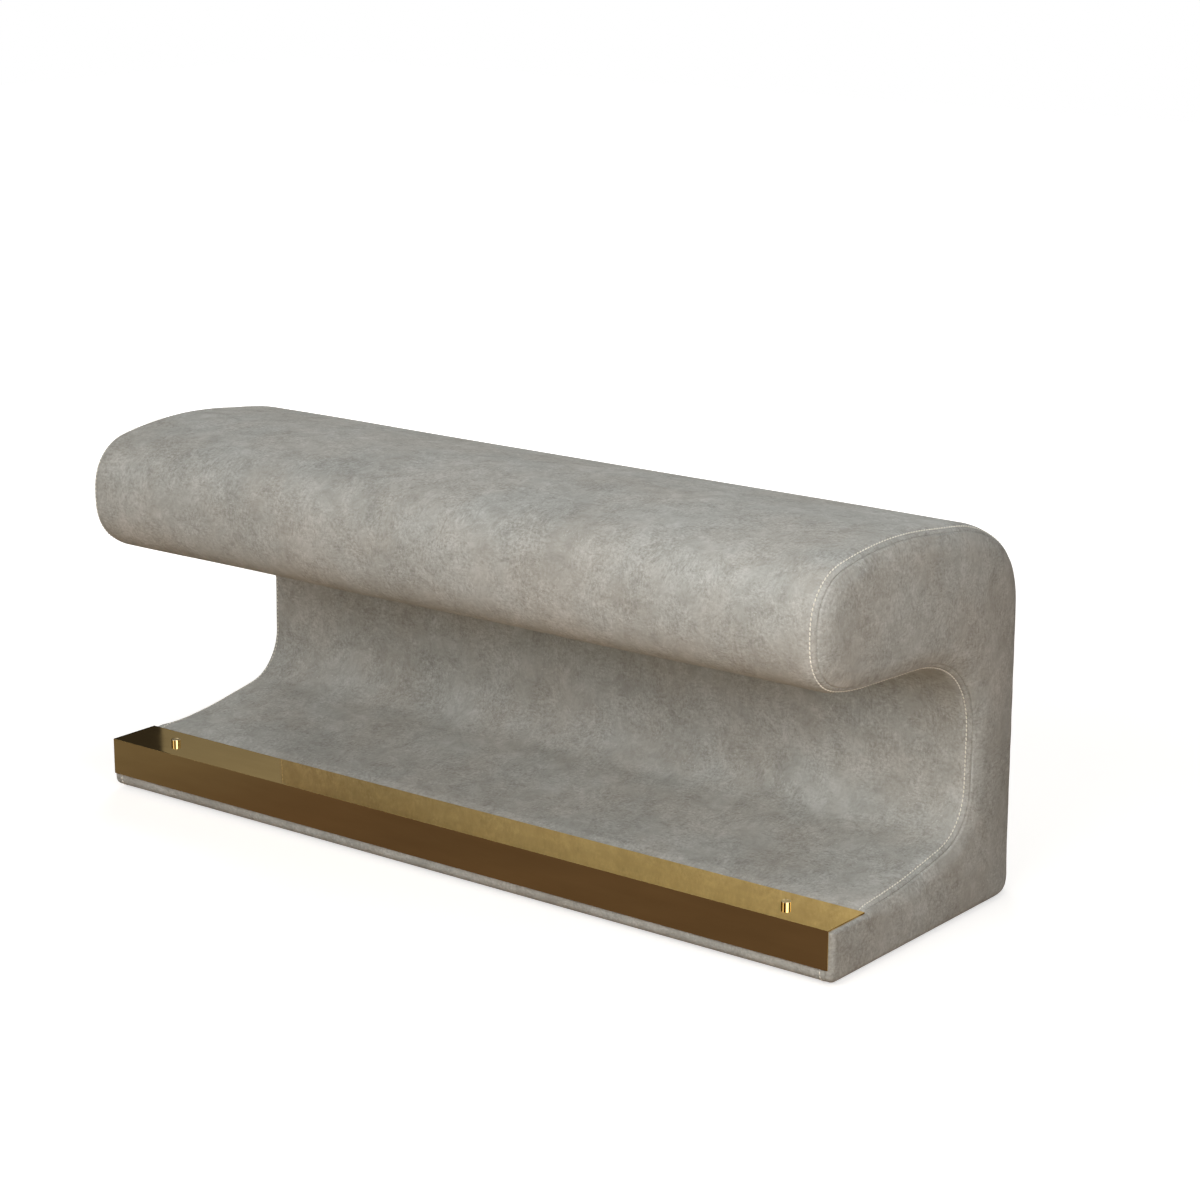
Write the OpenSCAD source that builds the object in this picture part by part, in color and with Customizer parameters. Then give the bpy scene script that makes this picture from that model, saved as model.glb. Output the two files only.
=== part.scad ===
// Upholstered cantilever bench: a padded C in side view, with a brass edge on the base.
// X runs along the bench, the brass edge faces -Y, Z is up and the floor is at Z = 0.

/* [Overall size] */
// Length over the padded ends
bench_length = 1110; // [800:10:1600]
// Depth from the seat roll to the back
bench_depth = 430; // [410:5:470]
// Height of the highest point of the seat above the floor
seat_height = 476; // [440:2:520]
// How far the seat roll reaches forward of the brass edge
nose_overhang = 27.5; // [20:2.5:40]
// Height of the glides between the fabric and the floor
glide_height = 4; // [3:0.5:8]

/* [Side profile] */
// Height of the base at its front, under the brass
base_front_height = 60.7; // [58:0.1:70]
// Rise of the base top from its front to the foot of the inner back
base_rise = 35.8; // [30:0.1:42]
// Thickness of the padded back at mid height
back_thickness = 110; // [105:1:125]
// Thickness of the padded seat from crown to soffit
seat_thickness = 167; // [160:1:180]
// Height of the seat roll's upright front
nose_face_height = 119.5; // [112:0.5:124]
// Radius of the seat roll, top and bottom
nose_radius = 62; // [56:1:62]
// Radius of the bend from the back to the seat
shoulder_radius = 102; // [80:1:104]
// Radius of the bend between the inner back and the base
inner_radius = 60; // [40:1:62]
// Radius of the fabric's lower edges
hem_radius = 11; // [8:1:13]

/* [Padded ends] */
// Radius of the rounding round each end
end_round = 28; // [22:1:30]
// How far each end leans in from the back to the seat roll
end_draw = 4.2; // [0:0.1:6]
// Distance of the side seam from the end
seam_inset = 9; // [7:0.5:11]
// Distance of the topstitch from the end
stitch_inset = 15; // [13:0.5:18]

/* [Layers] */
// Thickness of the cover fabric
cover_t = 1.5; // [1:0.1:2]
// Foam on top of the seat
seat_foam_t = 45; // [35:1:50]
// Foam round the front of the seat roll
nose_foam_t = 35; // [25:1:38]
// Foam on the soffit and the inner back
soffit_foam_t = 12; // [8:1:15]
// Foam on the outer back
back_foam_t = 12; // [8:1:15]
// Foam on top of the base
base_foam_t = 8; // [5:1:10]
// Wadding on the front face of the base
toe_foam_t = 3; // [2:0.5:5]
// Thickness of the bottom board
board_t = 15; // [12:1:18]
// Thickness of the seat deck, the inner skin and the base top board
skin_t = 8; // [6:1:9]
// Thickness of the back panel
panel_t = 5; // [4:1:8]
// Thickness of each plywood rib
rib_t = 18; // [15:1:24]
// Thickness of the nose rail and of the two rear rails
rail_t = 18; // [15:1:22]
// Width of the two rear rails
rail_w = 60; // [45:5:70]
// Thickness of the dust cloth
cloth_t = 0.5; // [0.3:0.1:1]

/* [Brass edge] */
// Distance of the brass angle's ends from the ends of the bench
brass_inset = 5; // [2:1:20]
// Depth of the brass angle's top leaf
brass_depth = 72; // [60:1:80]
// Height of the brass angle's front leaf
brass_drop = 46; // [30:1:48]
// Thickness of the brass
brass_t = 2; // [1.5:0.1:3]
// Diameter of the brass screw heads
screw_head_d = 11.5; // [9:0.5:14]
// Height of the brass screw heads
screw_head_h = 6; // [4:0.5:12]
// Diameter of the brass screws' shanks
screw_shank_d = 5; // [4:0.5:6]
// Distance of the screws behind the brass edge's front face
screw_setback = 35; // [28:1:45]
// Distance of each brass screw from the brass angle's end
screw_from_end = 78; // [40:1:140]

/* [Fasteners] */
// Diameter of the threaded inserts
insert_d = 9; // [8:0.5:12]
// Length of the threaded inserts
insert_l = 14; // [10:1:18]
// Diameter of the wood screws
wood_screw_d = 4; // [3:0.5:5]
// Length of the screws that hold the rails to the ribs
rail_screw_l = 45; // [35:1:55]
// Diameter of the glides
glide_d = 28; // [20:1:36]
// Distance of the end glides from the ends of the bench
glide_inset = 70; // [55:5:120]
// Diameter of the topstitch thread
thread_d = 1; // [0.6:0.1:1.2]
// Width of each staple
staple_w = 10; // [6:1:12]

/* [Hidden] */

// Clearance between layers, and round fasteners
fit_gap = 0.2;
// Clearance between the cover and what it lies on
cover_gap = 0.3;
// Width of the groove along the side seams
seam_gap = 0.6;
// How far the cover turns in under the base
cover_wrap = 30;
// Chord error allowed on the profile's arcs
arc_error = 0.35;
// Smallest radius of an inner layer's corner
least_radius = 0.5;

half_length = bench_length / 2;
brass_length = bench_length - 2 * brass_inset;
front_y = nose_overhang - bench_depth / 2;
seat_top = seat_height - glide_height;
nose_y = -nose_overhang;
back_y = bench_depth - nose_overhang;
toe_y = brass_t + cover_gap;
brass_top = base_front_height + cover_gap + brass_t;

// Share of the end rounding that each edge of the profile takes, in the order of the corners
end_share = [0.45, 0.8, 1, 1, 1, 1, 1, 1, 1, 0.9, 0.85, 0.85, 0.85, 0.85, 0.65];
// Foam and wood on each edge of the profile, in the same order
foam_t = [
    0, back_foam_t, seat_foam_t, seat_foam_t, seat_foam_t, nose_foam_t, soffit_foam_t, soffit_foam_t,
    soffit_foam_t, soffit_foam_t, base_foam_t, base_foam_t, base_foam_t, base_foam_t, toe_foam_t
];
wood_t = [
    board_t, panel_t, skin_t, skin_t, skin_t, rail_t, skin_t, skin_t,
    skin_t, skin_t, skin_t, skin_t, skin_t, skin_t, rail_t
];

// Places of the profile's corners: setbacks are measured from the seat roll's front or from the
// upright behind it, drops from the top of the seat and rises from what lies below
inner_lean = 3;
haunch_setback = 75;
haunch_drop = 42.5;
soffit_setback = 73;
soffit_rise = 7.5;
shoulder_setback = 101.5;
shoulder_drop = 74.5;
crown_setback = 135.5;
crown_rise = 6.3;
seat_rear_drop = 17;
nose_drop = 20;
base_bend_y = 165;
base_bend_rise = 12.3;
puff_depth = 13;
puff_rise = 3.8;
brass_margin = 1;
hem_back_extra = 1;
nose_top_extra = 2;
// Radii of the softer bends
seat_rear_radius = 246;
crown_radius = 535;
soffit_radius = 250;
haunch_radius = 145;
inner_top_radius = 85;
base_bend_radius = 300;
puff_radius = 14;
brass_back_radius = 8;
toe_radius = 4;

inner_y = back_y - back_thickness;
soffit_z = seat_top - seat_thickness;
crease_z = base_front_height + base_rise;
brass_back_y = brass_depth + brass_margin;

// Corners of the side profile as [y, z, radius], anticlockwise from the toe, with y from the
// brass edge's face and z from the fabric's underside; lift raises the seat's corners
function corners_with(lift) = [
    [toe_y, 0, hem_radius],
    [back_y, 0, hem_radius + hem_back_extra],
    [back_y, seat_top - shoulder_drop + lift, shoulder_radius],
    [back_y - shoulder_setback, seat_top - seat_rear_drop + lift, seat_rear_radius],
    [nose_y + crown_setback, seat_top + crown_rise + lift, crown_radius],
    [nose_y, seat_top - nose_drop + lift, nose_radius + nose_top_extra],
    [nose_y, seat_top - nose_drop - nose_face_height + lift, nose_radius],
    [nose_y + soffit_setback, soffit_z + soffit_rise + lift, soffit_radius],
    [inner_y - haunch_setback, soffit_z + lift, haunch_radius],
    [inner_y, soffit_z - haunch_drop + lift, inner_top_radius],
    [inner_y - inner_lean, crease_z, inner_radius],
    [base_bend_y, base_front_height + base_bend_rise, base_bend_radius],
    [brass_back_y + puff_depth, base_front_height + puff_rise, puff_radius],
    [brass_back_y, base_front_height, brass_back_radius],
    [toe_y, base_front_height, toe_radius]
];

function unit(v) = v / norm(v);
function cross2(a, b) = a.x * b.y - a.y * b.x;
function corner_xy(c, i) = [c[i % len(c)].x, c[i % len(c)].y];
function edge_dir(c, i) = unit(corner_xy(c, i + 1) - corner_xy(c, i));
function inward(d) = [-d.y, d.x];
function turned(v, a) = [v.x * cos(a) - v.y * sin(a), v.x * sin(a) + v.y * cos(a)];

// The corner where two edges meet once each has moved inward by its own distance
function inset_corner(p, n1, n2, a, b) =
    p + [a * n2.y - b * n1.y, b * n1.x - a * n2.x] / cross2(n1, n2);

// Points along the arc that rounds corner p, where an edge along d turns by an angle
function corner_arc(p, d, turn, r, steps) =
    let (start = p - d * r * tan(abs(turn) / 2))
    let (centre = start + inward(d) * r * sign(turn))
    [for (k = [0:steps]) centre + turned(start - centre, turn * k / steps)];

function turn_at(c, i) =
    let (a = edge_dir(c, i + len(c) - 1), b = edge_dir(c, i)) atan2(cross2(a, b), a * b);
function arc_steps(turn, r) = max(1, ceil(abs(turn) / (2 * acos(1 - arc_error / r))));

// The profile as points, each edge moved inward by its own distance; where two arcs
// would meet on a short edge, both shrink to fit it
function outline_of(c, insets) =
    let (n = len(c), every = [0:n - 1])
    let (d = [for (i = every) edge_dir(c, i)])
    let (before = [for (i = every) (i + n - 1) % n], after = [for (i = every) (i + 1) % n])
    let (turn = [for (i = every) turn_at(c, i)])
    let (p = [
        for (i = every)
            inset_corner(corner_xy(c, i), inward(d[before[i]]), inward(d[i]), insets[before[i]], insets[i])
    ])
    let (r = [
        for (i = every)
            max(least_radius, c[i].z - sign(turn[i]) * (insets[before[i]] + insets[i]) / 2)
    ])
    let (reach = [for (i = every) r[i] * tan(abs(turn[i]) / 2)])
    let (share = [for (i = every) min(1, norm(p[after[i]] - p[i]) / (reach[i] + reach[after[i]]))])
    [
        for (i = every)
            each corner_arc(p[i], d[before[i]], turn[i], r[i] * min(share[before[i]], share[i]),
                arc_steps(turn[i], c[i].z))
    ];

no_inset = [for (e = end_share) 0];
seat_lift = seat_top - max([for (p = outline_of(corners_with(0), no_inset)) p.y]);
corners = corners_with(seat_lift);
function outline(insets) = outline_of(corners, insets);

// Depth of each layer's face below the outside of the cover, edge by edge
foam_out = [for (t = foam_t) cover_t + cover_gap];
foam_in = foam_out + foam_t;
wood_out = [for (d = foam_in) d + fit_gap];
wood_in = wood_out + wood_t;
rib_out = [for (d = wood_in) d + fit_gap];

// Where the layers are divided, each a little clear of the bend beside it
soffit_split_setback = 113;
base_split_setback = 57;
shoulder_split_drop = 162;
rail_margin = 7;
rail_drop = 10;
frame_end_gap = 0.8;
nose_back = nose_y + wood_in[5];
soffit_split = inner_y - soffit_split_setback;
base_split = inner_y - base_split_setback;
shoulder_split = seat_top - shoulder_split_drop;
front_rail_back = brass_back_y + rail_margin;
board_top = wood_in[0];
rear_face = back_y - wood_in[1];
rear_rail_z = shoulder_split - rail_drop - rail_w;
frame_half = half_length - end_round - end_draw - frame_end_gap;
rib_x = [for (k = [-2:2]) k * (frame_half - rib_t / 2) / 2];

// Heights and a depth inside the body at which the bands of foam and skin are told apart
seat_core_rise = 55;
nose_core_drop = 20;
back_core_depth = 30;
mouth_mid_z = (crease_z + soffit_z) / 2;
seat_core_z = soffit_z + seat_core_rise;
nose_core_z = soffit_z - nose_core_drop;
back_core_y = inner_y + back_core_depth;
hem_z = hem_radius / 2;

// Places the part, from the profile's y and z to the bench's own frame
module place() {
    translate([0, front_y, glide_height]) children();
}

// Extrudes a shape drawn in y and z along the bench, from x0 to x1
module along(x0, x1) {
    place() translate([x0, 0, 0]) rotate([90, 0, 90]) linear_extrude(x1 - x0) children();
}

module window(y0, z0, y1, z1) {
    translate([y0, z0]) square([y1 - y0, z1 - z0]);
}

// The part of a layer, between two depths, that lies in the windows given as children
module layer(outer, inner) {
    intersection() {
        difference() {
            polygon(outline(outer));
            polygon(outline(inner));
        }
        union() children();
    }
}

module block(insets) {
    intersection() {
        polygon(outline(insets));
        children();
    }
}

wood_screw_head_h = 2.5;

// Countersunk wood screw with its head's face at the origin, driven towards +Z
module wood_screw(length, grow) {
    r = wood_screw_d / 2 + grow;
    rotate_extrude($fn = 32)
        polygon([[0, 0], [2 * r, 0], [r, wood_screw_head_h], [r, length + grow], [0, length + grow]]);
}

front_rail_top = base_front_height - wood_out[13];
brass_screw_x = [for (side = [-1, 1]) side * (brass_length / 2 - screw_from_end)];
bore_depth = 4;
front_rail_screw_setback = 20;
rib_screw_setbacks = [38, 10];
nose_screw_drop = 92;
front_rail_screw_x = [for (k = [0:3]) (rib_x[k] + rib_x[k + 1]) / 2];
front_rail_screw_y = front_rail_back - front_rail_screw_setback;
rib_screw_y = [front_rail_back + rib_screw_setbacks[0], back_core_y - rib_screw_setbacks[1]];
nose_screw_z = seat_top - nose_screw_drop;
// The board screws stop short of the top of the ribs' toes
board_screw_l = base_front_height - wood_out[0] - wood_in[13];
rear_screw_z = [board_top + rail_w / 2, rear_rail_z + rail_w / 2];

// Every screw that comes up through the bottom board
module board_screw_set(grow) {
    place() {
        for (x = rib_x)
            for (y = rib_screw_y)
                translate([x, y, wood_out[0]]) wood_screw(board_screw_l, grow);
        for (x = front_rail_screw_x)
            translate([x, front_rail_screw_y, wood_out[0]]) wood_screw(board_screw_l, grow);
    }
}

// Every screw that goes through a rail into a rib
module rail_screw_set(grow) {
    place()
        for (x = rib_x) {
            translate([x, nose_y + wood_out[5], nose_screw_z])
                rotate([-90, 0, 0]) wood_screw(rail_screw_l, grow);
            for (z = rear_screw_z)
                translate([x, rear_face - fit_gap, z])
                    rotate([90, 0, 0]) wood_screw(rail_screw_l, grow);
        }
}

// Round bores on the axes of the brass screws, from z0 to z1
module brass_screw_bores(r, z0, z1) {
    place()
        for (x = brass_screw_x)
            translate([x, screw_setback, z0]) cylinder(r = r, h = z1 - z0, $fn = 48);
}

// Boards and rails
module base_board() {
    color("burlywood") difference() {
        along(-frame_half, frame_half) block(wood_out) window(toe_y, 0, back_y, board_top);
        board_screw_set(fit_gap);
        glide_nail_set(fit_gap);
        staple_set(fit_gap);
    }
}

module base_top_board() {
    color("burlywood") along(-frame_half, frame_half)
        layer(wood_out, wood_in)
            window(front_rail_back + fit_gap, board_top, base_split, crease_z);
}

module front_rail() {
    color("wheat") difference() {
        along(-frame_half, frame_half)
            block(wood_out) window(toe_y, board_top + fit_gap, front_rail_back, crease_z);
        brass_screw_bores(insert_d / 2, front_rail_top - insert_l - fit_gap, crease_z);
        brass_screw_bores(screw_shank_d / 2 + fit_gap, front_rail_top - insert_l - bore_depth, crease_z);
        board_screw_set(fit_gap);
    }
}

module rear_rail(z) {
    along(-frame_half, frame_half) window(rear_face - rail_t, z, rear_face - fit_gap, z + rail_w);
}

module rear_bottom_rail() {
    color("wheat") difference() {
        rear_rail(board_top + fit_gap);
        rail_screw_set(fit_gap);
    }
}

module rear_top_rail() {
    color("wheat") difference() {
        rear_rail(rear_rail_z);
        rail_screw_set(fit_gap);
    }
}

module nose_rail() {
    color("wheat") difference() {
        along(-frame_half, frame_half)
            block(wood_out) window(nose_y, nose_core_z, nose_back, seat_top);
        rail_screw_set(fit_gap);
    }
}

// One C-shaped rib, cut back for the rails
module rib(k) {
    x = rib_x[k];
    color("tan") difference() {
        along(x - rib_t / 2, x + rib_t / 2) difference() {
            polygon(outline(rib_out));
            window(nose_y, nose_core_z, nose_back + fit_gap, seat_top);
            window(toe_y, 0, front_rail_back + fit_gap, crease_z);
            for (z = [board_top, rear_rail_z - fit_gap])
                window(rear_face - rail_t - fit_gap, z, back_y, z + rail_w + 2 * fit_gap);
        }
        board_screw_set(fit_gap);
        rail_screw_set(fit_gap);
    }
}

module left_end_rib() { rib(0); }
module left_rib() { rib(1); }
module centre_rib() { rib(2); }
module right_rib() { rib(3); }
module right_end_rib() { rib(4); }

module seat_deck() {
    color("burlywood") along(-frame_half, frame_half)
        layer(wood_out, wood_in) {
            window(nose_back + fit_gap, seat_core_z, back_y, seat_top);
            window(back_core_y, shoulder_split + fit_gap, back_y, seat_core_z);
        }
}

module inner_skin() {
    color("burlywood") along(-frame_half, frame_half)
        layer(wood_out, wood_in) {
            window(nose_back + fit_gap, mouth_mid_z, back_core_y, seat_core_z);
            window(base_split + fit_gap, board_top, back_core_y, mouth_mid_z);
        }
}

module back_panel() {
    color("burlywood") along(-frame_half, frame_half)
        layer(wood_out, wood_in)
            window(back_core_y, board_top + fit_gap, back_y, shoulder_split);
}

glue_block_size = 25;
glue_block_l = 60;

// Triangular blocks glued in the corners between the inner ribs and the bottom board
module glue_blocks() {
    color("wheat") place()
        for (k = [1:3])
            for (side = [-1, 1])
                translate([rib_x[k] + side * (rib_t / 2 + fit_gap), base_bend_y, board_top + fit_gap])
                    rotate([90, 0, 0])
                        linear_extrude(glue_block_l, center = true)
                            polygon([[0, 0], [side * glue_block_size, 0], [0, glue_block_size]]);
}

// Foam
module foam_band() {
    along(-frame_half, frame_half) layer(foam_out, foam_in) children();
}

module seat_foam() {
    color("khaki") foam_band() {
        window(nose_back, seat_core_z, back_y, seat_top);
        window(back_core_y, shoulder_split, back_y, seat_core_z);
    }
}

module nose_foam() {
    color("khaki") foam_band() window(nose_y, nose_core_z, nose_back, seat_top);
}

module soffit_foam() {
    color("khaki") foam_band() window(nose_back, mouth_mid_z, soffit_split, seat_core_z);
}

module inner_back_foam() {
    color("khaki") foam_band() {
        window(soffit_split, mouth_mid_z, back_core_y, seat_core_z);
        window(base_split, board_top, back_core_y, mouth_mid_z);
    }
}

module base_foam() {
    color("khaki") difference() {
        foam_band() window(toe_y, hem_z, base_split, mouth_mid_z);
        brass_screw_bores(screw_shank_d / 2 + fit_gap, board_top, crease_z);
    }
}

module back_foam() {
    color("khaki") foam_band() window(back_core_y, hem_z, back_y, shoulder_split);
}

// Padded ends: rings of the profile that shrink round a quarter circle towards the end
function lean(y) = end_draw * (back_y - end_share[1] * end_round - y) / bench_depth;
function ring_insets(a, depth) = [for (s = end_share) depth + (end_round - depth) * (1 - cos(a)) * s];
function ring_x(a, depth) = half_length - depth - (end_round - depth) * (1 - sin(a));
function ring(a, depth) = [
    for (p = outline(ring_insets(a, depth))) [ring_x(a, depth) - lean(p.x), p.x, p.y]
];
// The angle round the quarter circle at a distance from the end
function angle_at(from_end, depth) = asin(1 - (from_end - depth) / (end_round - depth));
function spread(a, b, n) = [for (k = [0:n]) a + (b - a) * k / n];

// Triangles between two rows of points, where row b follows row a; wrap closes the rows on themselves
function strip(a, b, n, wrap) = [
    for (i = [0:(wrap ? n : n - 1) - 1])
        let (j = (i + 1) % n)
        each [[a + i, b + i, b + j], [a + i, b + j, a + j]]
];
function flipped(faces) = [for (f = faces) [f[2], f[1], f[0]]];
function shifted(faces, start) = [for (f = faces) [f[0] + start, f[1] + start, f[2] + start]];
function run(start, n) = [for (i = [0:n - 1]) start + i];
function backwards(list) = [for (i = [len(list) - 1:-1:0]) list[i]];
function sum(list) = list * [for (v = list) 1];

// Triangles that fill a flat ring of the profile: its outer side, from the toe over the back to
// the nose, is laced to its inner side, always by the shorter tie
nose_corner = 5;
outer_points = sum([for (i = [0:nose_corner]) arc_steps(turn_at(corners, i), corners[i].z) + 1]);
function laced(p, i, j) =
    i == outer_points - 1 && j == outer_points ? []
    : i < outer_points - 1 && (j == outer_points || norm(p[i + 1] - p[j]) < norm(p[i] - p[j - 1]))
    ? [[i, i + 1, j], each laced(p, i + 1, j)]
    : [[i, j - 1, j], each laced(p, i, j - 1)];
function filled(p) = laced(p, 0, len(p) - 1);

module end_foam() {
    depth = foam_out[0];
    flat = [for (p = outline(foam_out)) [frame_half + fit_gap, p.x, p.y]];
    rows = concat([flat], [for (a = spread(0, 90, 3)) ring(a, depth)]);
    n = len(flat);
    last = len(rows) - 1;
    color("khaki") place() polyhedron(
        points = [for (row = rows) each row],
        faces = concat(
            filled(flat),
            [for (j = [0:last - 1]) each strip(j * n, (j + 1) * n, n, true)],
            flipped(shifted(filled(rows[last]), last * n))
        )
    );
}

module right_end_foam() { end_foam(); }
module left_end_foam() { mirror([1, 0, 0]) end_foam(); }

// End cover: a cup of fabric over the end, from the side seam outwards
module end_cover() {
    edge = seam_inset - seam_gap / 2;
    outer = [for (a = spread(angle_at(edge, 0), 90, 5)) ring(a, 0)];
    inner = [for (a = spread(angle_at(edge, cover_t), 90, 5)) ring(a, cover_t)];
    n = len(outer[0]);
    last = len(outer) - 1;
    total = n * len(outer);
    color("rosybrown") place() polyhedron(
        points = concat([for (row = outer) each row], [for (row = inner) each row]),
        faces = concat(
            strip(total, 0, n, true),
            [for (j = [0:last - 1]) each strip(j * n, (j + 1) * n, n, true)],
            flipped(shifted(filled(outer[last]), last * n)),
            [for (j = [0:last - 1]) each flipped(strip(total + j * n, total + (j + 1) * n, n, true))],
            shifted(filled(inner[last]), total + last * n)
        )
    );
}

module right_end_cover() { end_cover(); }
module left_end_cover() { mirror([1, 0, 0]) end_cover(); }

// The profile as an open path, from under the back, over the seat and round the toe to under the base
toe_steps = arc_steps(90, hem_radius) + 1;
function opened(points) =
    let (n = len(points), under = points[toe_steps - 1], start = points[toe_steps])
    concat(
        [[start.x, start.y - cover_wrap, start.z]],
        [for (i = [toe_steps:n - 1]) points[i]],
        [for (i = [0:toe_steps - 1]) points[i]],
        [[under.x, under.y + cover_wrap, under.z]]
    );
function mirrored(points) = [for (p = points) [-p.x, p.y, p.z]];
function stations(depth) =
    let (edge = angle_at(seam_inset + seam_gap / 2, depth))
    let (right = [for (a = spread(0, edge, 2)) opened(ring(a, depth))])
    concat([for (row = backwards(right)) mirrored(row)], right);

// Main cover: one length of fabric round the whole profile, turned in under the base
module main_cover() {
    outer = stations(0);
    inner = stations(cover_t);
    n = len(outer[0]);
    last = len(outer) - 1;
    total = n * len(outer);
    left_edge = [for (i = [0:last]) i * n];
    right_edge = [for (i = [0:last]) i * n + n - 1];
    color("rosybrown") difference() {
        place() polyhedron(
            points = concat([for (row = outer) each row], [for (row = inner) each row]),
            faces = concat(
                [for (j = [0:last - 1]) each strip(j * n, (j + 1) * n, n, false)],
                [for (j = [0:last - 1]) each flipped(strip(total + j * n, total + (j + 1) * n, n, false))],
                strip(total, 0, n, false),
                strip(last * n, total + last * n, n, false),
                [for (j = [0:last - 1]) each [
                    [left_edge[j], total + left_edge[j], total + left_edge[j + 1]],
                    [left_edge[j], total + left_edge[j + 1], left_edge[j + 1]],
                    [right_edge[j], total + right_edge[j + 1], total + right_edge[j]],
                    [right_edge[j], right_edge[j + 1], total + right_edge[j + 1]]
                ]]
            )
        );
        brass_screw_bores(screw_shank_d / 2 + cover_gap, board_top, crease_z);
    }
}

// Topstitch thread, laid just above the main cover along its seam
module topstitch() {
    above = -cover_gap - thread_d / 2;
    a = angle_at(stitch_inset, 0);
    r = thread_d / 2;
    low = opened(ring(a, above + r));
    high = opened(ring(a, above - r));
    n = len(low);
    side = [r, 0, 0];
    color("ivory") place() polyhedron(
        points = [for (i = [0:n - 1]) each [low[i] - side, low[i] + side, high[i] + side, high[i] - side]],
        faces = concat(
            [run(0, 4)],
            [for (i = [0:n - 2]) each strip(4 * i, 4 * i + 4, 4, true)],
            [backwards(run(4 * n - 4, 4))]
        )
    );
}

module right_topstitch() { topstitch(); }
module left_topstitch() { mirror([1, 0, 0]) topstitch(); }

// Brass edge
module brass_angle() {
    color("goldenrod") difference() {
        along(-brass_length / 2, brass_length / 2) {
            window(0, brass_top - brass_drop, brass_t, brass_top);
            window(0, brass_top - brass_t, brass_depth, brass_top);
        }
        brass_screw_bores(screw_shank_d / 2 + fit_gap, 0, brass_top + 1);
    }
}

screw_bevel = 0.4;
screw_tip_gap = 2;

module brass_screw(k) {
    r = screw_head_d / 2;
    shank = brass_t + cover_gap + wood_out[13] + insert_l - screw_tip_gap;
    color("gold") place() translate([brass_screw_x[k], screw_setback, brass_top])
        rotate_extrude($fn = 64)
            polygon([
                [0, -shank], [screw_shank_d / 2, -shank], [screw_shank_d / 2, 0], [r, 0],
                [r, screw_head_h - screw_bevel], [r - screw_bevel, screw_head_h], [0, screw_head_h]
            ]);
}

module left_brass_screw() { brass_screw(0); }
module right_brass_screw() { brass_screw(1); }

module screw_inserts() {
    foot = front_rail_top - insert_l;
    color("silver") difference() {
        brass_screw_bores(insert_d / 2 - fit_gap / 2, foot, front_rail_top);
        brass_screw_bores(screw_shank_d / 2 + fit_gap / 2, foot - 1, front_rail_top + 1);
    }
}

module board_screws() {
    color("silver") board_screw_set(0);
}

module rail_screws() {
    color("silver") rail_screw_set(0);
}

// Underside
glide_x = [for (k = [-1:1]) k * (half_length - glide_inset)];
hem_ends = [toe_y + hem_radius + cover_wrap, back_y - hem_radius - hem_back_extra - cover_wrap];
hem_to_glide = 12;
glide_y = [hem_ends[0] + glide_d / 2 + hem_to_glide, hem_ends[1] - glide_d / 2 - hem_to_glide];
layer_gap = 0.1;
glide_bevel = 1;
cloth_top = -layer_gap;
glide_top = cloth_top - cloth_t - layer_gap;
glide_boss_r = 6;
nail_r = 1.5;
nail_l = 16;
nail_head_r = 3;
nail_head_h = 1;
nail_sink = 0.2;

module at_glides() {
    place() for (x = glide_x) for (y = glide_y) translate([x, y, 0]) children();
}

module glides() {
    color("white") at_glides() rotate_extrude($fn = 48) difference() {
        union() {
            polygon([
                [0, -glide_height], [glide_d / 2 - glide_bevel, -glide_height],
                [glide_d / 2, glide_bevel - glide_height],
                [glide_d / 2, glide_top], [0, glide_top]
            ]);
            translate([0, glide_top]) square([glide_boss_r, wood_out[0] - layer_gap - glide_top]);
        }
        translate([0, -glide_height]) square([nail_r + fit_gap, glide_height + wood_out[0]]);
        translate([0, -glide_height])
            square([nail_head_r + fit_gap, nail_sink + nail_head_h + fit_gap]);
    }
}

module glide_nail_set(grow) {
    at_glides() translate([0, 0, nail_sink - glide_height]) {
        cylinder(r = nail_r + grow, h = nail_l + grow, $fn = 32);
        cylinder(r = nail_head_r, h = nail_head_h, $fn = 32);
    }
}

module glide_nails() {
    color("silver") glide_nail_set(0);
}

cloth_half = half_length - end_round;
cloth_lap = 22;
cloth_y = [hem_ends[0] - cloth_lap, hem_ends[1] + cloth_lap];
staple_wire = 0.7;
staple_leg = 8;
staple_setback = 4;
staple_end_gap = 30;
staple_y = [hem_ends[0] + staple_setback, hem_ends[1] - staple_setback];
staple_count = 10;
staple_half = frame_half - staple_end_gap;
staple_x = [for (k = [0:staple_count - 1]) staple_half * (2 * k / (staple_count - 1) - 1)];

module staple_set(grow) {
    w = staple_wire + 2 * grow;
    top = cloth_top - cloth_t - layer_gap / 2;
    place() for (x = staple_x) for (y = staple_y) translate([x, y, 0]) {
        translate([-staple_w / 2 - grow, -w / 2, top - w]) cube([staple_w + 2 * grow, w, w]);
        for (side = [-1, 1])
            translate([side * (staple_w - staple_wire) / 2 - w / 2, -w / 2, top - staple_wire])
                cube([w, w, staple_leg + grow]);
    }
}

module cloth_staples() {
    color("silver") staple_set(0);
}

module dust_cloth() {
    color("dimgray") difference() {
        place() translate([-cloth_half, cloth_y[0], cloth_top - cloth_t])
            cube([2 * cloth_half, cloth_y[1] - cloth_y[0], cloth_t]);
        at_glides() translate([0, 0, glide_top]) cylinder(r = glide_boss_r + cover_gap, h = 2, $fn = 48);
        staple_set(fit_gap);
    }
}

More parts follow.
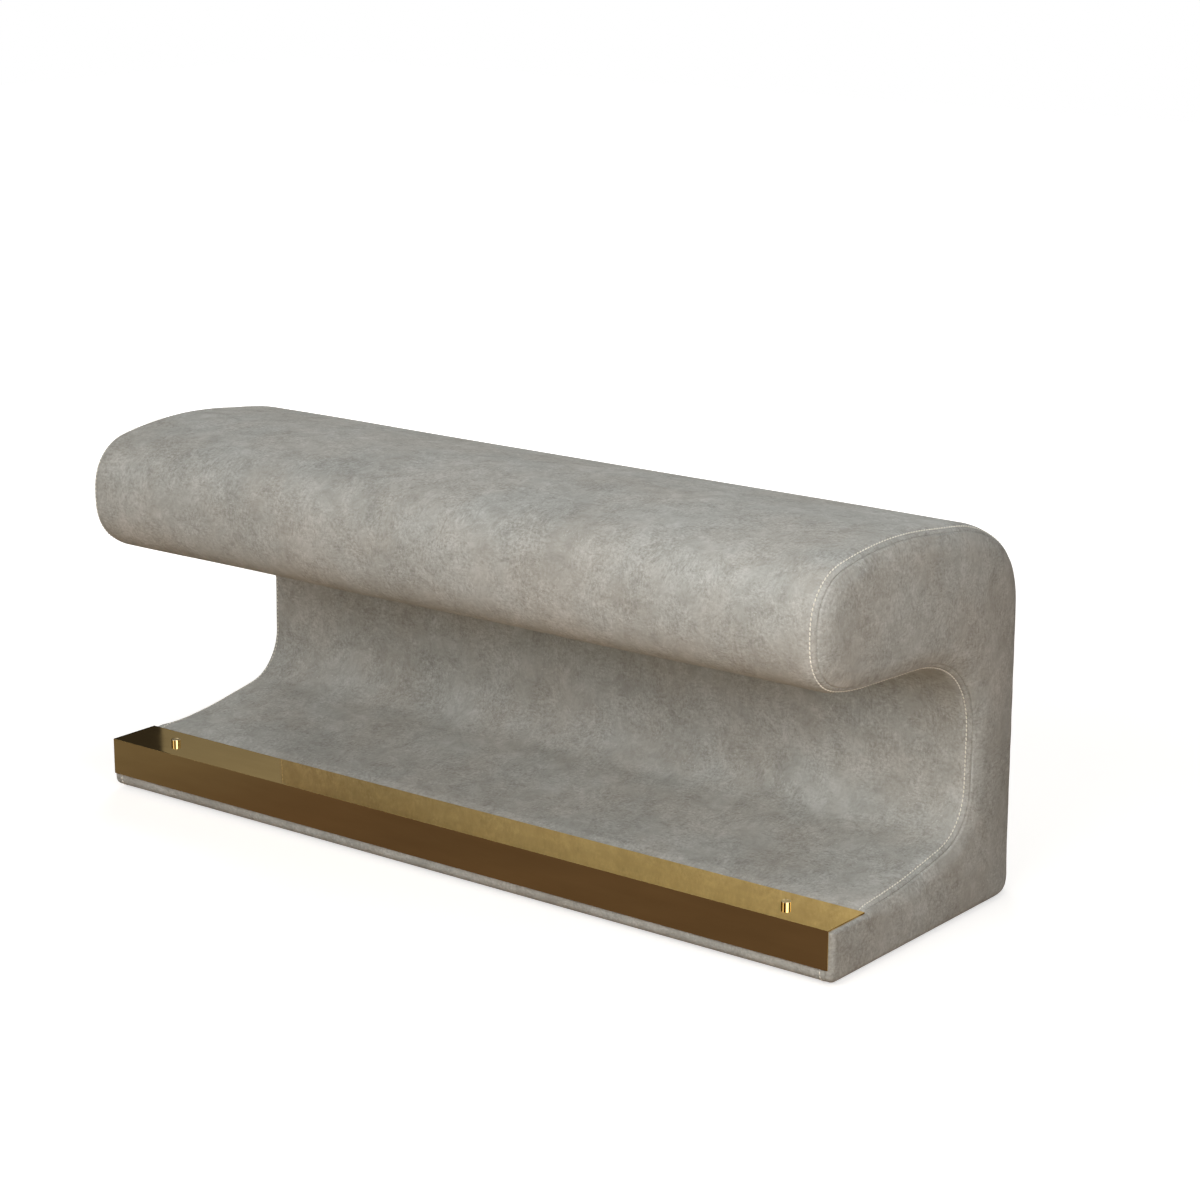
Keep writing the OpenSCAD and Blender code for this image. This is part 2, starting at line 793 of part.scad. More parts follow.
base_board();
base_top_board();
front_rail();
rear_bottom_rail();
rear_top_rail();
nose_rail();
left_end_rib();
left_rib();
centre_rib();
right_rib();
right_end_rib();
seat_deck();
inner_skin();
back_panel();
glue_blocks();
seat_foam();
nose_foam();
soffit_foam();
inner_back_foam();
base_foam();
back_foam();
left_end_foam();
right_end_foam();
main_cover();
left_end_cover();
right_end_cover();
left_topstitch();
right_topstitch();
brass_angle();
left_brass_screw();
right_brass_screw();
screw_inserts();
board_screws();
rail_screws();
dust_cloth();
cloth_staples();
glides();
glide_nails();
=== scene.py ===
import math

import bmesh
import bpy
import numpy as np
from mathutils import Matrix, Vector
from mathutils.geometry import delaunay_2d_cdt


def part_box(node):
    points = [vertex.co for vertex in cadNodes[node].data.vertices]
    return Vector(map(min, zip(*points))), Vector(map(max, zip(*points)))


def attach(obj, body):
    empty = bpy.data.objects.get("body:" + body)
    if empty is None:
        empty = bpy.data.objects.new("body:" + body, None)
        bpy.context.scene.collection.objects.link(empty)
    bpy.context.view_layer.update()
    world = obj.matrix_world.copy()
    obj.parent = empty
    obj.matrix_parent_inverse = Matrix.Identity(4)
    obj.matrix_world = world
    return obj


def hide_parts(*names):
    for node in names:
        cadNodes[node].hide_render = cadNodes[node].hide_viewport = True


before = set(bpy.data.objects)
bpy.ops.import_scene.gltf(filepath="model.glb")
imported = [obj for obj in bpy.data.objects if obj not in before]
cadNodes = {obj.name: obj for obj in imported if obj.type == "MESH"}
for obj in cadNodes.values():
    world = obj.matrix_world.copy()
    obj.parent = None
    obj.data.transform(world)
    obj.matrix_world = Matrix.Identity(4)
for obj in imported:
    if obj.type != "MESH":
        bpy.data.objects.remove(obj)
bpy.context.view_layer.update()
scene = bpy.context.scene
mm = 0.001
print("frame loaded,", len(cadNodes), "nodes")


# small helpers
def clearSelection():
    if bpy.context.object and bpy.context.object.mode != "OBJECT":
        bpy.ops.object.mode_set(mode="OBJECT")
    bpy.ops.object.select_all(action="DESELECT")


def makeActive(piece):
    clearSelection()
    piece.select_set(True)
    bpy.context.view_layer.objects.active = piece


def applyPlace(piece):
    makeActive(piece)
    bpy.ops.object.transform_apply(location=True, rotation=True, scale=True)


def applyModifiers(piece):
    makeActive(piece)
    for modifier in list(piece.modifiers):
        bpy.ops.object.modifier_apply(modifier=modifier.name)


def smoothByAngle(piece):
    makeActive(piece)
    bpy.ops.object.shade_smooth_by_angle(angle=math.radians(35))


def evenNormals(piece):
    # polished flats keep their own normals right up to the broken edges
    smoothByAngle(piece)
    piece.modifiers.new("normals", "WEIGHTED_NORMAL").keep_sharp = True
    applyModifiers(piece)


def editAll(piece):
    makeActive(piece)
    bpy.ops.object.mode_set(mode="EDIT")
    bpy.ops.mesh.select_all(action="SELECT")


def leaveEdit():
    bpy.ops.object.mode_set(mode="OBJECT")


def faceOutward(piece):
    editAll(piece)
    bpy.ops.mesh.normals_make_consistent(inside=False)
    leaveEdit()


def breakEdges(piece, width, degrees):
    bevel = piece.modifiers.new("edge", "BEVEL")
    bevel.width = width * mm
    bevel.segments = 2
    bevel.limit_method = "ANGLE"
    bevel.angle_limit = math.radians(degrees)
    applyModifiers(piece)


def giveThickness(piece, thickness, offset):
    solid = piece.modifiers.new("cloth", "SOLIDIFY")
    solid.thickness = thickness * mm
    solid.offset = offset
    applyModifiers(piece)
    makeActive(piece)
    bpy.ops.object.shade_smooth()


def selectFaces(piece, test):
    bpy.ops.object.mode_set(mode="EDIT")
    bpy.ops.mesh.select_mode(type="FACE")
    bpy.ops.mesh.select_all(action="DESELECT")
    shape = bmesh.from_edit_mesh(piece.data)
    for face in shape.faces:
        face.select_set(test(face))
    bmesh.update_edit_mesh(piece.data)


def addObject(name, data):
    item = bpy.data.objects.new(name, data)
    scene.collection.objects.link(item)
    return item


def meshPiece(name, points, faces, uv=None):
    data = bpy.data.meshes.new(name)
    data.from_pydata([tuple(p) for p in points], [], [tuple(f) for f in faces])
    data.update()
    if uv is not None:
        layer = data.uv_layers.new(name="cloth")
        corner = np.zeros(len(data.loops), np.int32)
        data.loops.foreach_get("vertex_index", corner)
        layer.data.foreach_set("uv", np.asarray(uv, np.float32)[corner].ravel())
    return addObject(name, data)


# the side profile that every padded layer follows
profile = {
    # corners as (y from the brass face, z from the fabric's underside, radius), in millimetres
    "corners": [
        (2.3, 0, 11), (402.5, 0, 14), (402.5, 397.4, 102), (301, 454.9, 246), (108, 478.2, 535),
        (-27.5, 451.9, 64), (-27.5, 332.4, 62), (45.5, 312.4, 250), (217.5, 304.9, 145),
        (292.5, 262.4, 85), (289.5, 96.5, 60), (165, 73, 300), (86, 64.5, 14), (73, 60.7, 8),
        (2.3, 60.7, 4),
    ],
    # for each corner and the edge after it: its share of the end's rounding, its least radius,
    # how far its curve runs into the next, and its points on the arc and on the edge
    "endShare": [0.32, 1.1, 1.1, 1, 1, 1, 1, 1, 1, 0.9, 0.85, 0.85, 0.85, 0.85, 0.65],
    "leastRadius": [3, 12, 2, 2, 2, 2, 2, 2, 2, 2, 2, 2, 1, 1, 1],
    "soften": [0.5, 2, 14, 14, 12, 12, 12, 12, 13, 13, 10, 14, 4, 1, 0.5],
    "arcSteps": [7, 7, 22, 14, 22, 18, 18, 12, 14, 14, 20, 8, 6, 5, 5],
    "edgeSteps": [52, 44, 2, 12, 1, 4, 1, 16, 1, 12, 12, 10, 3, 11, 7],
    "halfLength": 555.0,
    "endRound": 28.0,      # radius round each end
    "endDraw": 4.2,        # lean of each end towards the seat roll
    "leanReach": 380.1,
    "backDraw": 11.0,      # how far the pads of the ends thin out towards the back
    "backReach": 60.0,
    # the toe's ends are squarer than the roll's: a radius for each edge, and where they end
    "toeRound": [7, 6, 6, 6, 6, 6, 6, 6, 6, 5, 5, 5, 5, 5, 8],
    "toeEnd": 0.6,
    # where the toe and the edge along the floor start to fade, and over what length, in y and z
    "toeFade": ((60, 70), (66, 36)),
    "floorFade": ((345, 65), (14, 50)),
    "depth": 430.0,
    "backY": 402.5,
    "frontY": -187.5,      # place of the brass face in the bench's own frame
    "lift": 4.0,           # the glides' height
    "wrap": 30.0,          # fabric turned in under the base
}


def toFrame(points):
    points = np.asarray(points, float)
    return (points + [0, profile["frontY"], profile["lift"]]) * mm


def fadeIn(value, start, length):
    return np.clip((value - start) / length, 0, 1)


def fadeOut(value, start, length):
    return np.clip(1 - (value - start) / length, 0, 1)


def bellCurve(value, middle, width):
    return np.exp(-(((value - middle) / width) ** 2))


def profileRing(insets):
    corners = np.array(profile["corners"], float)
    count = len(corners)
    place, radius = corners[:, :2], corners[:, 2]
    step = np.roll(place, -1, 0) - place
    direction = step / np.linalg.norm(step, axis=1)[:, None]
    normal = np.stack([-direction[:, 1], direction[:, 0]], 1)
    before = np.roll(np.arange(count), 1)
    turnSin = direction[before, 0] * direction[:, 1] - direction[before, 1] * direction[:, 0]
    turn = np.arctan2(turnSin, (direction[before] * direction).sum(1))
    first, second = normal[before], normal
    a, b = insets[before], insets
    cross = first[:, 0] * second[:, 1] - first[:, 1] * second[:, 0]
    shift = np.stack([a * second[:, 1] - b * first[:, 1], b * first[:, 0] - a * second[:, 0]], 1)
    moved = place + shift / cross[:, None]
    bend = np.maximum(profile["leastRadius"], radius - np.sign(turn) * (a + b) / 2)
    reach = bend * np.tan(np.abs(turn) / 2)
    after = np.roll(np.arange(count), -1)
    share = np.minimum(1, np.linalg.norm(moved[after] - moved, axis=1) / (reach + reach[after]))
    bend = bend * np.minimum(share[before], share)
    rows, soften = [], []
    for i in range(count):
        start = moved[i] - direction[before[i]] * bend[i] * math.tan(abs(turn[i]) / 2)
        centre = start + first[i] * bend[i] * np.sign(turn[i])
        # a corner that follows another at once leaves out their shared point
        firstStep = 1 if profile["edgeSteps"][before[i]] == 1 else 0
        for k in range(firstStep, profile["arcSteps"][i] + 1):
            angle = turn[i] * k / profile["arcSteps"][i]
            c, s = math.cos(angle), math.sin(angle)
            arm = start - centre
            rows.append(centre + [arm[0] * c - arm[1] * s, arm[0] * s + arm[1] * c])
            soften.append(profile["soften"][i])
        last = rows[-1]
        nextStart = moved[after[i]] - direction[i] * bend[after[i]] * math.tan(abs(turn[after[i]]) / 2)
        for k in range(1, profile["edgeSteps"][i]):
            t = k / profile["edgeSteps"][i]
            rows.append(last + (nextStart - last) * t)
            soften.append(profile["soften"][i] * (1 - t) + profile["soften"][after[i]] * t)
    return softenRing(np.array(rows), np.array(soften))


def softenRing(rows, soften):
    # foam rounds one curve into the next; the second pass keeps the corners' fullness
    step = np.linalg.norm(np.roll(rows, -1, 0) - rows, axis=1)
    along = np.concatenate([[0], np.cumsum(step)[:-1]])
    apart = np.abs(along[:, None] - along[None])
    apart = np.minimum(apart, step.sum() - apart)
    share = np.exp(-0.5 * (apart / soften[:, None]) ** 2) * (step + np.roll(step, 1))[None]
    share /= share.sum(1, keepdims=True)
    once = share @ rows
    return 2 * once - share @ once


def lean(y):
    back = profile["backDraw"] * np.exp((y - profile["backY"]) / profile["backReach"])
    return profile["endDraw"] * (profile["leanReach"] - y) / profile["depth"] + back


def toeShare(y, z):
    # 1 on the thin toe that the brass caps and along the floor, 0 on the rest of the body
    (toeY, toeZ), (floorY, floorZ) = profile["toeFade"], profile["floorFade"]
    share = np.maximum(fadeOut(y, *toeY) * fadeOut(z, *toeZ), fadeOut(y, *floorY) * fadeOut(z, *floorZ))
    return share * share * (3 - 2 * share)


def endRing(angle, depth=0.0, side=1):
    share = np.array(profile["endShare"])
    left = profile["endRound"] - depth
    ring = profileRing(depth + left * (1 - math.cos(angle)) * share)
    fromEnd = left * (1 - math.sin(angle))
    radius = np.array(profile["toeRound"]) - depth
    toeRing = profileRing(depth + radius - np.sqrt(radius ** 2 - np.clip(radius - fromEnd, 0, None) ** 2))
    toe = toeShare(toeRing[:, 0], toeRing[:, 1])
    ring = ring + (toeRing - ring) * toe[:, None]
    x = profile["halfLength"] - depth - fromEnd - lean(ring[:, 0]) * (1 - toe) - profile["toeEnd"] * toe
    return np.column_stack([side * x, ring])


def angleAt(fromEnd, depth=0.0):
    return math.asin(1 - (fromEnd - depth) / (profile["endRound"] - depth))


toeCount = profile["arcSteps"][0] + 1          # points on the toe's hem arc
openStart = toeCount + profile["edgeSteps"][0] - 1   # first point of the back's hem arc


def openRow(ring, wrapSteps=5):
    # from under the back, over the seat and round the toe to under the base
    order = list(range(openStart, len(ring))) + list(range(toeCount))
    row = ring[order]
    steps = np.linspace(1, 0, wrapSteps, endpoint=False)[:, None] * profile["wrap"]
    head = row[0] + steps * [0, -1, 0]
    tail = row[-1] + steps[::-1] * [0, 1, 0]
    return np.vstack([head, row, tail])


def gridFaces(rows, columns, closed=False):
    faces = []
    for j in range(rows - 1):
        for i in range(columns if closed else columns - 1):
            k = (i + 1) % columns
            faces.append((j * columns + i, j * columns + k, (j + 1) * columns + k, (j + 1) * columns + i))
    return faces


def gridNormals(grid, closed=False):
    if closed:
        wide = np.concatenate([grid[:, -1:], grid, grid[:, :1]], 1)
        along = wide[:, 2:] - wide[:, :-2]
    else:
        along = np.gradient(grid, axis=1)
    across = np.gradient(grid, axis=0)
    normal = np.cross(along, across)
    size = np.linalg.norm(normal, axis=2, keepdims=True)
    return normal / np.maximum(size, 1e-9)


def softWave(a, b, seed):
    # smooth, fixed ripples over two lengths in millimetres, about -1 to 1
    rng = np.random.default_rng(seed)
    total = np.zeros(np.broadcast(a, b).shape)
    for k in range(7):
        turnA, turnB, phase = rng.uniform(0.4, 1.6), rng.uniform(0.4, 1.6), rng.uniform(0, 6.3)
        total = total + np.sin(a * turnA + b * turnB * (-1) ** k + phase)
    return total / 4


# main cover
seamForm = {
    "grooveWidth": 0.8,
    "weltPlace": (3.6, 1.8),    # middle from the seam's edge, and width
    "rippleSize": (9.0, 30.0),  # along and across
    "floorFade": 6.0,           # below this height the cloth lies flat
}
coverForm = {
    "middleRows": 74,
    "roundRows": (9, 15),  # as far as the topstitch, and on to the seam
    "seamInset": 9.04,     # from the end to the cover's edge, half a seam gap included
    "stitchInset": 15.0,
    "groove": 0.65,        # how deep the edge turns into the seam
    "welt": 0.35,          # fabric standing up between the seam and the topstitch
    "stitchDip": 0.4,
    "dipWidth": 1.3,
    "pucker": 0.16,
    "puckerPlace": (9, 9),
    "rippleSeed": 3,
    "softness": 0.45,      # slow hills of the foam
    "hillSize": (85.0, 70.0),
    "hillStart": (12, 60),
    "hillSeed": 5,
    "freeY": (74, 12),     # the brass and the base hold the cloth flat before these places
    "freeZ": (110, 12),
    "seamBand": 12,        # except this close to a seam
    "thickness": 1.1,
}


def seamShape(fromSeam, form):
    # height of the cloth near its seam, by distance from the seam's edge
    groove = -form["groove"] * bellCurve(fromSeam, 0, seamForm["grooveWidth"])
    return groove + form["welt"] * bellCurve(fromSeam, *seamForm["weltPlace"])


def seamRipple(along, fromSeam, form):
    sizeAlong, sizeAcross = seamForm["rippleSize"]
    ripple = softWave(along / sizeAlong, fromSeam / sizeAcross, form["rippleSeed"])
    return form["pucker"] * ripple * bellCurve(fromSeam, *form["puckerPlace"])


def arcLength(row):
    return np.concatenate([[0], np.cumsum(np.linalg.norm(np.diff(row, axis=0), axis=1))])


def makeMainCover():
    form = coverForm
    edge, stitch = angleAt(form["seamInset"]), angleAt(form["stitchInset"])
    toStitch, toSeam = form["roundRows"]
    fine = np.concatenate([np.linspace(0, stitch, toStitch)[1:], np.linspace(stitch, edge, toSeam)[1:]])
    flat = openRow(endRing(0))
    rows = [openRow(endRing(a, side=-1)) for a in fine[::-1]]
    rows += [np.column_stack([t * flat[:, 0], flat[:, 1:]]) for t in np.linspace(-1, 1, form["middleRows"])]
    rows += [openRow(endRing(a)) for a in fine]
    grid = np.array(rows)
    across = np.linalg.norm(np.diff(grid, axis=0), axis=2)
    fromLeft = np.concatenate([np.zeros((1, grid.shape[1])), np.cumsum(across, 0)])
    fromSeam = np.minimum(fromLeft, fromLeft[-1] - fromLeft)
    along = arcLength(flat)[None, :] + 0 * fromSeam
    height = seamShape(fromSeam, form)
    height -= form["stitchDip"] * bellCurve(fromSeam, profile["endRound"] * (edge - stitch), form["dipWidth"])
    height += seamRipple(along, fromSeam, form)
    sizeX, sizeAlong = form["hillSize"]
    hills = softWave(grid[:, :, 0] / sizeX, along / sizeAlong, form["hillSeed"])
    height += form["softness"] * hills * fadeIn(fromSeam, *form["hillStart"])
    y, z = grid[:, :, 1], grid[:, :, 2]
    loose = np.clip(fadeIn(y, *form["freeY"]) + fadeIn(z, *form["freeZ"]), 0, 1)
    loose = np.maximum(loose, (fromSeam < form["seamBand"]) * 1.0) * fadeIn(z, 0, seamForm["floorFade"])
    moved = grid + gridNormals(grid) * (height * loose)[:, :, None]
    uv = np.stack([(fromLeft - fromLeft[-1] / 2) * mm, along * mm], 2)
    faces = gridFaces(*fromLeft.shape)
    piece = meshPiece("mainCover", toFrame(moved.reshape(-1, 3)), faces, uv.reshape(-1, 2))
    giveThickness(piece, form["thickness"], -1)
    return piece


mainCover = makeMainCover()
print("main cover made,", len(mainCover.data.polygons), "faces")


# end covers
endForm = {
    "rows": 26,
    "crowding": 1.35,      # rows lie closer together near the seam
    "seamInset": 8.96,
    "groove": 0.65,
    "welt": 0.4,
    "pucker": 0.18,
    "puckerPlace": (5, 6),
    "rippleSeed": 11,
    "rounding": 0.6,       # share of the CAD's rounding that the cloth follows
    "swell": 6.0,          # how far the middle of the face swells past that
    "swellReach": 30.0,    # over about this width
    "toeCalm": 0.65,       # how much less the toe swells
    "lip": 0.9,            # fabric standing up beside the brass leaf's end
    "lipPlace": ((60, 12), (50, 8), (550.1, 0.6)),   # start and length in y, z and x
    "spacing": 8.0,        # grid on the face
    "hemTo": 521.0,        # where the hem under the base ends
    "hemRows": 6,
    "hemLift": 0.15,
    "uvShift": (3.0, 2.0),   # the ends are cut from another place in the cloth
    "thickness": 1.1,
}
netForm = {
    "margin": 3,
    "rowStep": 0.87,       # rows of even triangles
    "rimGap": 0.55,        # share of the spacing that stays free along the rim
    "blend": (2, 3),       # how the rim's level spreads over the face
}


def pillowSwell(fromSeam, y, z, form):
    swell = form["swell"] * (1 - form["toeCalm"] * toeShare(y, z))
    return swell * (1 - np.exp(-fromSeam / form["swellReach"]))


def pillowRows(grid, depth, form):
    # the face is a pillow: it rises from its seam, fast at first, all the way to its middle
    seamRing = endRing(angleAt(form["seamInset"]), depth)
    apart = np.linalg.norm(grid[:, :, 1:] - seamRing[None, :, 1:], axis=2)
    past = grid[:, :, 0] > seamRing[:, 0] + 1e-6
    y, z = grid[:, :, 1], grid[:, :, 2]
    share = form["rounding"] + (1 - form["rounding"]) * toeShare(y, z)
    moved = seamRing[:, 0] * (1 - share) + grid[:, :, 0] * share + pillowSwell(apart, y, z, form)
    return apart, np.where(past, moved, grid[:, :, 0])


def pillowFace(rim, rimX, apart, spacing, form):
    # fills the rim of an end with an even net of triangles that swells towards its middle
    columns = len(rim)
    low, high = rim[:, 1:].min(0) + netForm["margin"], rim[:, 1:].max(0)
    ys = np.arange(low[0], high[0], spacing)
    zs = np.arange(low[1], high[1], spacing * netForm["rowStep"])
    inner = np.array([(y + (k % 2) * spacing / 2, z) for k, z in enumerate(zs) for y in ys])
    line, nextLine = rim[:, 1:], np.roll(rim[:, 1:], -1, 0)
    crossing = (line[:, 1] > inner[:, 1:2]) != (nextLine[:, 1] > inner[:, 1:2])
    slope = (inner[:, 1:2] - line[:, 1]) * (nextLine[:, 0] - line[:, 0])
    slope = slope / np.where(nextLine[:, 1] == line[:, 1], 1, nextLine[:, 1] - line[:, 1])
    inside = (crossing & (inner[:, :1] < slope + line[:, 0])).sum(1) % 2 == 1
    gap = np.linalg.norm(inner[:, None] - line[None], axis=2).min(1)
    inner = inner[inside & (gap > spacing * netForm["rimGap"])]
    flat = [Vector(p) for p in line] + [Vector(p) for p in inner]
    result = delaunay_2d_cdt(flat, [], [list(range(columns))], 1, 1e-5)
    places = np.array([tuple(p) for p in result[0]])
    source = [ids[0] if ids else -1 for ids in result[3]]
    away = np.linalg.norm(places[:, None] - line[None], axis=2)
    softness, power = netForm["blend"]
    weight = 1 / (away + softness) ** power
    weight /= weight.sum(1, keepdims=True)
    gap = away.min(1)
    y, z = places[:, 0], places[:, 1]
    rimLean = lean(rim[:, 1]) * (1 - toeShare(rim[:, 1], rim[:, 2]))
    level = weight @ (rimX - pillowSwell(apart, rim[:, 1], rim[:, 2], form) + rimLean)
    faceX = level - lean(y) * (1 - toeShare(y, z)) + pillowSwell(weight @ apart + gap, y, z, form)
    return np.column_stack([faceX, places]), source, result[2]


def joinFace(rows, columns, face):
    # joins a pillow face to the last row of a grid; returns points to add and faces
    places, source, triangles = face
    index, extra = {}, []
    for k, origin in enumerate(source):
        if 0 <= origin < columns:
            index[k] = (rows - 1) * columns + origin
        else:
            index[k] = rows * columns + len(extra)
            extra.append(places[k])
    return np.array(extra), [tuple(index[v] for v in triangle) for triangle in triangles]


def makeEndCover(side, name):
    form = endForm
    start = angleAt(form["seamInset"])
    angles = start + (math.pi / 2 - start) * (np.linspace(0, 1, form["rows"]) ** form["crowding"])
    grid = np.array([endRing(a) for a in angles])
    step = np.linalg.norm(np.diff(grid, axis=0), axis=2)
    fromSeam = np.concatenate([np.zeros((1, grid.shape[1])), np.cumsum(step, 0)])
    along = arcLength(grid[0])[None, :] + 0 * fromSeam
    height = seamShape(fromSeam, form) + seamRipple(along, fromSeam, form)
    x, y, z = grid[:, :, 0], grid[:, :, 1], grid[:, :, 2]
    moved = grid + gridNormals(grid, True) * (height * fadeIn(z, 0, seamForm["floorFade"]))[:, :, None]
    lipY, lipZ, lipX = form["lipPlace"]
    moved[:, :, 2] += form["lip"] * (fadeOut(y, *lipY) * fadeIn(z, *lipZ)) * fadeIn(x, *lipX)
    apart, pillowX = pillowRows(grid, 0.0, form)
    moved[:, :, 0] += pillowX - x
    columns = grid.shape[1]
    face = pillowFace(grid[-1], pillowX[-1], apart[-1], form["spacing"], form)
    extra, triangles = joinFace(len(angles), columns, face)
    faces = gridFaces(len(angles), columns, True) + triangles
    points = np.vstack([moved.reshape(-1, 3), extra])
    # the hem goes on from the seam's lower edge, under the base as far as the dust cloth
    edgeIndex = np.arange(toeCount - 1, openStart + 1)
    edgeX, edgeY = x[0, edgeIndex], y[0, edgeIndex]
    share = np.linspace(0, 1, form["hemRows"])[1:, None]
    hemX = edgeX * (1 - share) + form["hemTo"] * share
    hem = np.stack([hemX, edgeY + 0 * share, 0 * hemX + form["hemLift"]], 2)
    index = np.vstack([edgeIndex, len(points) + np.arange(hemX.size).reshape(hemX.shape)]).ravel().tolist()
    faces += [tuple(index[v] for v in quad) for quad in gridFaces(form["hemRows"], len(edgeIndex))]
    across = np.concatenate([points[:, 2], (hemX - edgeX).ravel()])
    points = np.vstack([points, hem.reshape(-1, 3)])
    shiftU, shiftV = form["uvShift"]
    uv = np.column_stack([across * mm + shiftU * side, points[:, 1] * mm + shiftV])
    piece = meshPiece(name, toFrame(points * [side, 1, 1]), faces, uv)
    faceOutward(piece)
    # the cover is open, so its face's normals settle which way is out
    if sum(p.normal.x * p.area for p in piece.data.polygons) * side < 0:
        piece.data.flip_normals()
    giveThickness(piece, form["thickness"], -1)
    return piece


leftEndCover = makeEndCover(-1, "leftEndCover")
rightEndCover = makeEndCover(1, "rightEndCover")
print("end covers made,", len(rightEndCover.data.polygons), "faces each")


# topstitches: one stitch modelled, then copied along the seam
stitchForm = {
    "pitch": 5.2,
    "length": 4.3,
    "radius": 0.78,
    "sink": 0.7,           # how far its ends go into the cloth
    "slant": 7.0,          # degrees, as a lock stitch lies
    "lift": 0.12,
    "proud": 0.6,          # share of its radius that stands out
    "hemGap": 6,           # from its ends to the ends of the turned-in cloth
}


def makeStitch():
    clearSelection()
    bpy.ops.mesh.primitive_uv_sphere_add(segments=8, ring_count=6, radius=1, rotation=(0, math.pi / 2, 0))
    stitch = bpy.context.object
    applyPlace(stitch)
    editAll(stitch)
    bpy.ops.transform.resize(value=(stitchForm["length"] / 2, stitchForm["radius"], stitchForm["radius"]))
    leaveEdit()
    for vertex in stitch.data.vertices:
        t = vertex.co.x / (stitchForm["length"] / 2)
        vertex.co.z -= stitchForm["sink"] * t * t
    points = np.array([v.co for v in stitch.data.vertices])
    faces = [tuple(p.vertices) for p in stitch.data.polygons]
    bpy.data.objects.remove(stitch)
    return points, faces


stitchPoints, stitchFaces = makeStitch()


def makeTopstitch(side, name):
    form = stitchForm
    angle = angleAt(coverForm["stitchInset"])
    row = openRow(endRing(angle, side=side))
    above = openRow(endRing(angle + 0.02, side=side)) - row
    length = arcLength(row)
    wrapEnd = profile["wrap"] - form["hemGap"]
    stops = np.arange(length[0] + wrapEnd, length[-1] - wrapEnd, form["pitch"])
    tangents = np.gradient(row, axis=0)
    slant = math.radians(form["slant"]) * side
    points, faces = [], []
    for stop in stops:
        place, way, wide = [
            np.array([np.interp(stop, length, line[:, c]) for c in range(3)])
            for line in (row, tangents, above)]
        way /= np.linalg.norm(way)
        wide -= way * (wide @ way)
        wide /= np.linalg.norm(wide)
        up = np.cross(way, wide) * side     # out of the cloth
        place = place + up * (form["lift"] - coverForm["stitchDip"] + form["radius"] * form["proud"])
        turned = way * math.cos(slant) + wide * math.sin(slant)
        sideways = np.cross(up, turned)
        local = stitchPoints[:, :1] * turned + stitchPoints[:, 1:2] * sideways + stitchPoints[:, 2:] * up
        start = len(points) * len(stitchPoints)
        points.append(place + local)
        faces += [tuple(v + start for v in face) for face in stitchFaces]
    piece = meshPiece(name, toFrame(np.vstack(points)), faces)
    faceOutward(piece)
    bpy.ops.object.shade_smooth()
    return piece


leftTopstitch = makeTopstitch(-1, "leftTopstitch")
rightTopstitch = makeTopstitch(1, "rightTopstitch")
print("topstitches made")


# brass edge
brassForm = {
    "length": 1100.0,
    "depth": 72.0,
    "drop": 46.0,
    "sheet": 2.0,
    "top": 63.0,           # above the fabric's underside
    "edge": 0.12,          # broken edges
    "screwSetback": 35.0,
    "screwX": [-472.0, 472.0],
    "boreRadius": 2.7,
    "drill": 10.0,
}


def frameY(y):
    return (y + profile["frontY"]) * mm


def makeBrassEdge():
    form = brassForm
    clearSelection()
    middle = toFrame((0, form["depth"] / 2, form["top"] - form["sheet"] / 2))
    bpy.ops.mesh.primitive_cube_add(size=1, location=middle)
    piece = bpy.context.object
    piece.name = "brassEdge"
    piece.scale = (form["length"] * mm, form["depth"] * mm, form["sheet"] * mm)
    applyPlace(piece)
    editAll(piece)
    # cut the leaf behind the front wall, then pull the strip's underside down
    bpy.ops.mesh.bisect(plane_co=(0, frameY(form["sheet"]), 0), plane_no=(0, 1, 0))
    selectFaces(piece, lambda f: f.normal.z < -0.9 and f.calc_center_median().y < frameY(form["sheet"]))
    drop = (0, 0, (form["sheet"] - form["drop"]) * mm)
    bpy.ops.mesh.extrude_region_move(TRANSFORM_OT_translate={"value": drop})
    leaveEdit()
    for x in form["screwX"]:
        clearSelection()
        bpy.ops.mesh.primitive_cylinder_add(
            vertices=32, radius=form["boreRadius"] * mm, depth=form["drill"] * mm,
            location=toFrame((x, form["screwSetback"], form["top"])))
        drill = bpy.context.object
        cut = piece.modifiers.new("bore", "BOOLEAN")
        cut.operation = "DIFFERENCE"
        cut.object = drill
        applyModifiers(piece)
        bpy.data.objects.remove(drill)
    breakEdges(piece, form["edge"], 50)
    evenNormals(piece)
    return piece


brassEdge = makeBrassEdge()

screwForm = {
    "headRadius": 5.75,
    "headHeight": 6.0,
    "shankRadius": 2.5,
    "shank": 24.0,
    "edge": 0.45,
    "dish": 0.25,          # the top is turned slightly hollow
    "dishRim": (1.2, 0.3),   # the flat rim round it, and its slope
}


